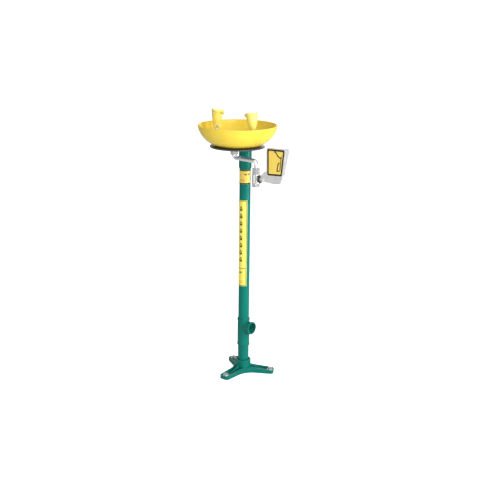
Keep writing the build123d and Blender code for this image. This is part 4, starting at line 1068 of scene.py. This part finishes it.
@dataclass
class PoleSigns(Assembly):
    """Generic prints on the two wrapped labels.

    Attributes:
        film_radius: The labels' outer radius.
        film_sink: How far the ink's underside lies in the film.
        front: Direction of the labels' middle, in radians.
        sign_angle: How far the sign reaches round the pole.
        strip_angle: How far the strip reaches round the pole.
        corner_radii: Outer and inner corner radius of a frame line.
        side_steps: Steps along each side of a frame line.
        bar_steps: Steps along a bar.
        sign_frame: The sign's frame line, its inset and its width.
        sign_eyes: Places of the two eyes, across from the front.
        sign_eye_drop: The eyes below the sign's top.
        sign_eye: Width and height of an eye on the sign.
        sign_pupil: Radius of its pupil.
        sign_bars: Start, end and width of the sign's bars.
        sign_bar_rises: Their heights over the sign's lower edge.
        strip_frame: The strip's frame line, its inset and its width.
        divider_width: Across the strip's divider.
        divider_margin: From the divider's ends to the strip's edges.
        divider_height: The divider's height over the floor.
        eye_height: The strip's eye over the floor.
        strip_eye: Its width and height.
        strip_pupil: Radius of its pupil.
        strip_bars: Start, end and width of the strip's bars.
        strip_bar_rises: Their heights over the strip's lower edge.
        mark_size: Width and height of a drop.
        mark_hollow: A drop's inside as a share of its outline.
        mark_top: The highest drop over the floor.
        mark_step: From one drop to the next.
        mark_count: Number of drops.
    """

    film_radius: float = 21.52 * MM
    film_sink: float = 0.03 * MM
    front: float = -math.pi / 2
    sign_angle: float = math.radians(230.0)
    strip_angle: float = math.radians(130.0)
    corner_radii: Point = (2.5 * MM, 1.5 * MM)
    side_steps: int = 64
    bar_steps: int = 40
    sign_frame: Point = (0.3 * MM, 4.4 * MM)
    sign_eyes: Point = (16.5 * MM, 30.0 * MM)
    sign_eye_drop: float = 17.0 * MM
    sign_eye: Point = (10.0 * MM, 7.0 * MM)
    sign_pupil: float = 1.6 * MM
    sign_bars: tuple[float, float, float] = (-8.0 * MM, 14.0 * MM, 2.2 * MM)
    sign_bar_rises: Point = (12.0 * MM, 16.0 * MM)
    strip_frame: Point = (1.8 * MM, 2.2 * MM)
    divider_width: float = 2.2 * MM
    divider_margin: float = 3.0 * MM
    divider_height: float = 0.423
    eye_height: float = 0.407
    strip_eye: Point = (13.0 * MM, 8.0 * MM)
    strip_pupil: float = 2.1 * MM
    strip_bars: tuple[float, float, float] = (-9.0 * MM, 9.0 * MM, 2.0 * MM)
    strip_bar_rises: Point = (14.0 * MM, 20.0 * MM)
    mark_size: Point = (15.0 * MM, 20.0 * MM)
    mark_hollow: float = 0.38
    mark_top: float = 0.657
    mark_step: float = 0.0283
    mark_count: int = 8

    def place(self, across: float, up: float, off: float) -> Vector:
        """A point on the pole.

        Args:
            across: Distance round the pole from its front, towards +X.
            up: Height over the floor.
            off: Distance off the label's face.

        Returns:
            The point in the frame.
        """
        turn = self.front + across / self.film_radius
        reach = self.film_radius + off - self.film_sink
        return Vector((reach * math.cos(turn), reach * math.sin(turn), up))

    def _frame_line(self, sheet: InkSheet, angle: float, low: float, high: float, line: Point) -> None:
        """Print a line round a label, inside its edge.

        Args:
            sheet: The sheet to print on.
            angle: The label's angle round the pole.
            low: The label's lower edge.
            high: Its upper edge.
            line: From the label's edge to the line, and across the line.
        """
        inset, width = line
        half = angle * self.film_radius / 2
        corners = ((-half, low), (half, low), (half, high), (-half, high))
        outer = rounded(inset_corners(corners, inset), self.corner_radii[0], self.side_steps)
        inner = rounded(inset_corners(corners, inset + width), self.corner_radii[1], self.side_steps)
        sheet.ring(outer, inner)

    def build(self) -> None:
        """Dress the labels and print them."""
        self.dress(LABEL_AMBER, "pole_sign")
        self.dress(LABEL_YELLOW, "pole_strip")
        black = self.palette.get(ink_finish(PrintInk.BLACK))
        green = self.palette.get(ink_finish(PrintInk.GREEN))
        orange = self.palette.get(ink_finish(PrintInk.ORANGE))
        self._print_sign(black, orange)
        self._print_strip(green, orange)

    def _print_sign(self, black: bpy.types.Material, orange: bpy.types.Material) -> None:
        """Print the upper sign: a frame, a pair of eyes and two bars.

        Args:
            black: The frame's and the eyes' ink.
            orange: The bars' ink.
        """
        low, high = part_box("pole_sign")
        sheet = InkSheet("sign_black_print", self.place)
        self._frame_line(sheet, self.sign_angle, low.z, high.z, self.sign_frame)
        for across in self.sign_eyes:
            eye = almond(*self.sign_eye)
            centre = (across, high.z - self.sign_eye_drop)
            sheet.ring(moved(eye, *centre), moved(shrunk(eye, 0.6), *centre))
            sheet.solid(moved(circle(self.sign_pupil, 20), *centre))
        self.keep(sheet.finish(black), "root", "label_film")
        sheet = InkSheet("sign_orange_print", self.place)
        start, end, width = self.sign_bars
        for rise in self.sign_bar_rises:
            sheet.solid(self._bar(start, end, low.z + rise, width))
        self.keep(sheet.finish(orange), "root", "label_film")

    def _bar(self, start: float, end: float, up: float, width: float) -> list[Point]:
        """Outline of a level bar, divided so that it follows the pole.

        Args:
            start: Its first end.
            end: Its last end.
            up: Its height over the floor.
            width: Across it.

        Returns:
            The outline, counterclockwise.
        """
        half = width / 2
        corners = ((start, up - half), (end, up - half), (end, up + half), (start, up + half))
        return rounded(corners, half * 0.9, self.bar_steps, 4)

    def _print_strip(self, green: bpy.types.Material, orange: bpy.types.Material) -> None:
        """Print the long strip: a frame, a column of drops, a divider, an eye and two bars.

        Args:
            green: The main ink.
            orange: The lower bars' ink.
        """
        low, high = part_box("pole_strip")
        sheet = InkSheet("strip_frame_print", self.place)
        self._frame_line(sheet, self.strip_angle, low.z, high.z, self.strip_frame)
        half = self.strip_angle * self.film_radius / 2 - self.divider_margin
        sheet.solid(self._bar(-half, half, self.divider_height, self.divider_width))
        eye = moved(almond(*self.strip_eye), 0.0, self.eye_height)
        sheet.ring(eye, shrunk(eye, 0.7))
        sheet.solid(moved(circle(self.strip_pupil, 24), 0.0, self.eye_height))
        self.keep(sheet.finish(green), "root", "label_film")
        sheet = InkSheet("strip_orange_print", self.place)
        start, end, width = self.strip_bars
        for rise in self.strip_bar_rises:
            sheet.solid(self._bar(start, end, low.z + rise, width))
        self.keep(sheet.finish(orange), "root", "label_film")
        sheet = InkSheet("drop_mark", self.place)
        outline = moved(drop(*self.mark_size), 0.0, self.mark_top)
        sheet.ring(outline, shrunk(outline, self.mark_hollow))
        mark = sheet.finish(green)
        step = (0.0, 0.0, -self.mark_step)
        values = {"Count": self.mark_count, "Step": step, "Material": green}
        marks = run_tree(self.trees.column, "strip_drop_marks", values, mark.data.copy())
        bpy.data.objects.remove(mark)
        self.keep(marks, "root", "label_film")


# Studio


@dataclass
class Softbox:
    """A rectangular light that faces the station.

    Attributes:
        name: The light's name.
        azimuth: Its direction in degrees, 0 in front and 90 on the +X side.
        height: Its height.
        distance: From the pedestal's axis.
        size: Its width and height.
        power: In watts.
        aim_height: Height on the pedestal's axis that it faces.
    """

    name: str
    azimuth: float
    height: float
    distance: float
    size: Point
    power: float
    aim_height: float = 0.75

    def build(self) -> None:
        """Add the light."""
        turn = math.radians(self.azimuth)
        spot = Vector((self.distance * math.sin(turn), -self.distance * math.cos(turn), self.height))
        data = bpy.data.lights.new(self.name, "AREA")
        data.shape = "RECTANGLE"
        data.size, data.size_y = self.size
        data.energy = self.power
        lamp = bpy.data.objects.new(self.name, data)
        lamp.location = spot
        lamp.rotation_euler = (Vector((0, 0, self.aim_height)) - spot).to_track_quat("-Z", "Y").to_euler()
        bpy.context.scene.collection.objects.link(lamp)


@dataclass
class Studio:
    """Pale floor, soft lights, a plain surround and the camera.

    Attributes:
        eye: The camera's place.
        azimuth: The camera's heading, with its small sideways turn.
        pitch: How far it looks down.
        roll: Its small roll.
        lens: Focal length over a 36 mm sensor.
        floor_half: Half the floor's width.
        floor_tones: The floor's two tones.
        floor_glow: The light that the floor gives off to the eye.
        floor_mirrored: The floor's tone in a reflection.
    """

    eye: tuple[float, float, float] = (2.22535, -2.72970, 1.48818)
    azimuth: float = math.radians(39.188 + 0.118)
    pitch: float = math.radians(15.368)
    roll: float = math.radians(0.581)
    lens: float = 36.0 * 963.08 / 485.0
    floor_half: float = 60.0
    floor_tones: tuple[Colour, Colour] = ((0.86, 0.86, 0.86), (0.9, 0.9, 0.9))
    floor_glow: float = 0.85
    floor_mirrored: Colour = (0.62, 0.62, 0.62)

    def build(self) -> None:
        """Build the studio."""
        self._floor()
        self._surround()
        Softbox("low_fill", -12.0, 1.0, 3.2, (1.6, 1.8), 13.0).build()
        Softbox("side_strip", 104.0, 1.1, 2.0, (0.22, 2.4), 38.0).build()
        Softbox("front_fill", 62.0, 1.4, 3.4, (1.6, 2.2), 78.0).build()
        Softbox("top_panel", 60.0, 3.0, 1.2, (1.6, 1.6), 8.0, 0.9).build()
        Softbox("back_rim", 215.0, 1.8, 2.6, (0.8, 1.6), 8.0).build()
        self._camera()
        view = bpy.context.scene.view_settings
        view.view_transform = "Standard"
        view.look = "None"

    def _floor(self) -> None:
        """Add the pale floor."""
        half = self.floor_half
        data = bpy.data.meshes.new("studio_floor")
        corners = [(-half, -half, 0), (half, -half, 0), (half, half, 0), (-half, half, 0)]
        data.from_pydata(corners, [], [(0, 1, 2, 3)])
        floor = bpy.data.objects.new("studio_floor", data)
        bpy.context.scene.collection.objects.link(floor)
        material = bpy.data.materials.new("pale_floor")
        material.use_nodes = True
        sketch = TreeSketch(material.node_tree)
        place = sketch.add("ShaderNodeTexCoord").outputs["Object"]
        tone = sketch.blend(sketch.noise(place, 0.8, 4.0), *self.floor_tones)
        seen = sketch.add("ShaderNodeBsdfPrincipled")
        sketch.feed(seen, Base_Color=tone, Roughness=0.6)
        sketch.feed(seen, Emission_Color=(1.0, 1.0, 1.0, 1.0), Emission_Strength=self.floor_glow)
        mirrored = sketch.feed(sketch.add("ShaderNodeBsdfDiffuse"), Color=(*self.floor_mirrored, 1.0))
        choice = sketch.add("ShaderNodeMixShader")
        sketch.feed(choice, Fac=sketch.add("ShaderNodeLightPath").outputs["Is Camera Ray"])
        sketch.tree.links.new(mirrored.outputs[0], choice.inputs[1])
        sketch.tree.links.new(seen.outputs[0], choice.inputs[2])
        end = sketch.add("ShaderNodeOutputMaterial")
        sketch.feed(end, Surface=choice.outputs[0])
        data.materials.append(material)

    def _surround(self) -> None:
        """Make the surround white to the eye and softer as a light."""
        world = bpy.data.worlds.new("studio_surround")
        bpy.context.scene.world = world
        world.use_nodes = True
        sketch = TreeSketch(world.node_tree)
        seen = sketch.add("ShaderNodeLightPath").outputs["Is Camera Ray"]
        direction = sketch.add("ShaderNodeSeparateXYZ")
        sketch.feed(direction, Vector=sketch.add("ShaderNodeTexCoord").outputs["Generated"])
        level = sketch.ramp(direction.outputs["Z"], 0.3, 0.5, -0.1, 0.6)
        light = sketch.blend(level, (0.0, 0.0, 0.0), (1.0, 1.0, 1.0))
        glow = sketch.add("ShaderNodeBackground")
        sketch.feed(glow, Color=sketch.blend(seen, light, (1.0, 1.0, 1.0)), Strength=1.0)
        end = sketch.add("ShaderNodeOutputWorld")
        sketch.feed(end, Surface=glow.outputs[0])

    def _camera(self) -> None:
        """Add the camera."""
        heading = Vector((-math.sin(self.azimuth), math.cos(self.azimuth), 0.0))
        forward = heading * math.cos(self.pitch) + Vector((0, 0, -math.sin(self.pitch)))
        level = Vector((math.cos(self.azimuth), math.sin(self.azimuth), 0.0))
        upward = level.cross(forward)
        right = level * math.cos(self.roll) + upward * math.sin(self.roll)
        top = upward * math.cos(self.roll) - level * math.sin(self.roll)
        data = bpy.data.cameras.new("studio_camera")
        data.lens = self.lens
        data.sensor_width = 36.0
        data.clip_end = 300.0
        camera = bpy.data.objects.new("studio_camera", data)
        basis = Matrix((right, top, -forward)).transposed().to_4x4()
        camera.matrix_world = Matrix.Translation(self.eye) @ basis
        bpy.context.scene.collection.objects.link(camera)
        bpy.context.scene.camera = camera


def main() -> None:
    """Build the station's looks and its studio."""
    logging.basicConfig(level=logging.INFO, format="%(name)s: %(message)s")
    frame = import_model()
    palette = Palette()
    trees = GrowthTrees()
    for kind in (Pedestal, Basin, SupplyRun, PushHandle, SprayYoke, PoleSigns):
        kind(frame["nodes"], palette, trees).build()
    Studio().build()


if __name__ == "__main__":
    main()
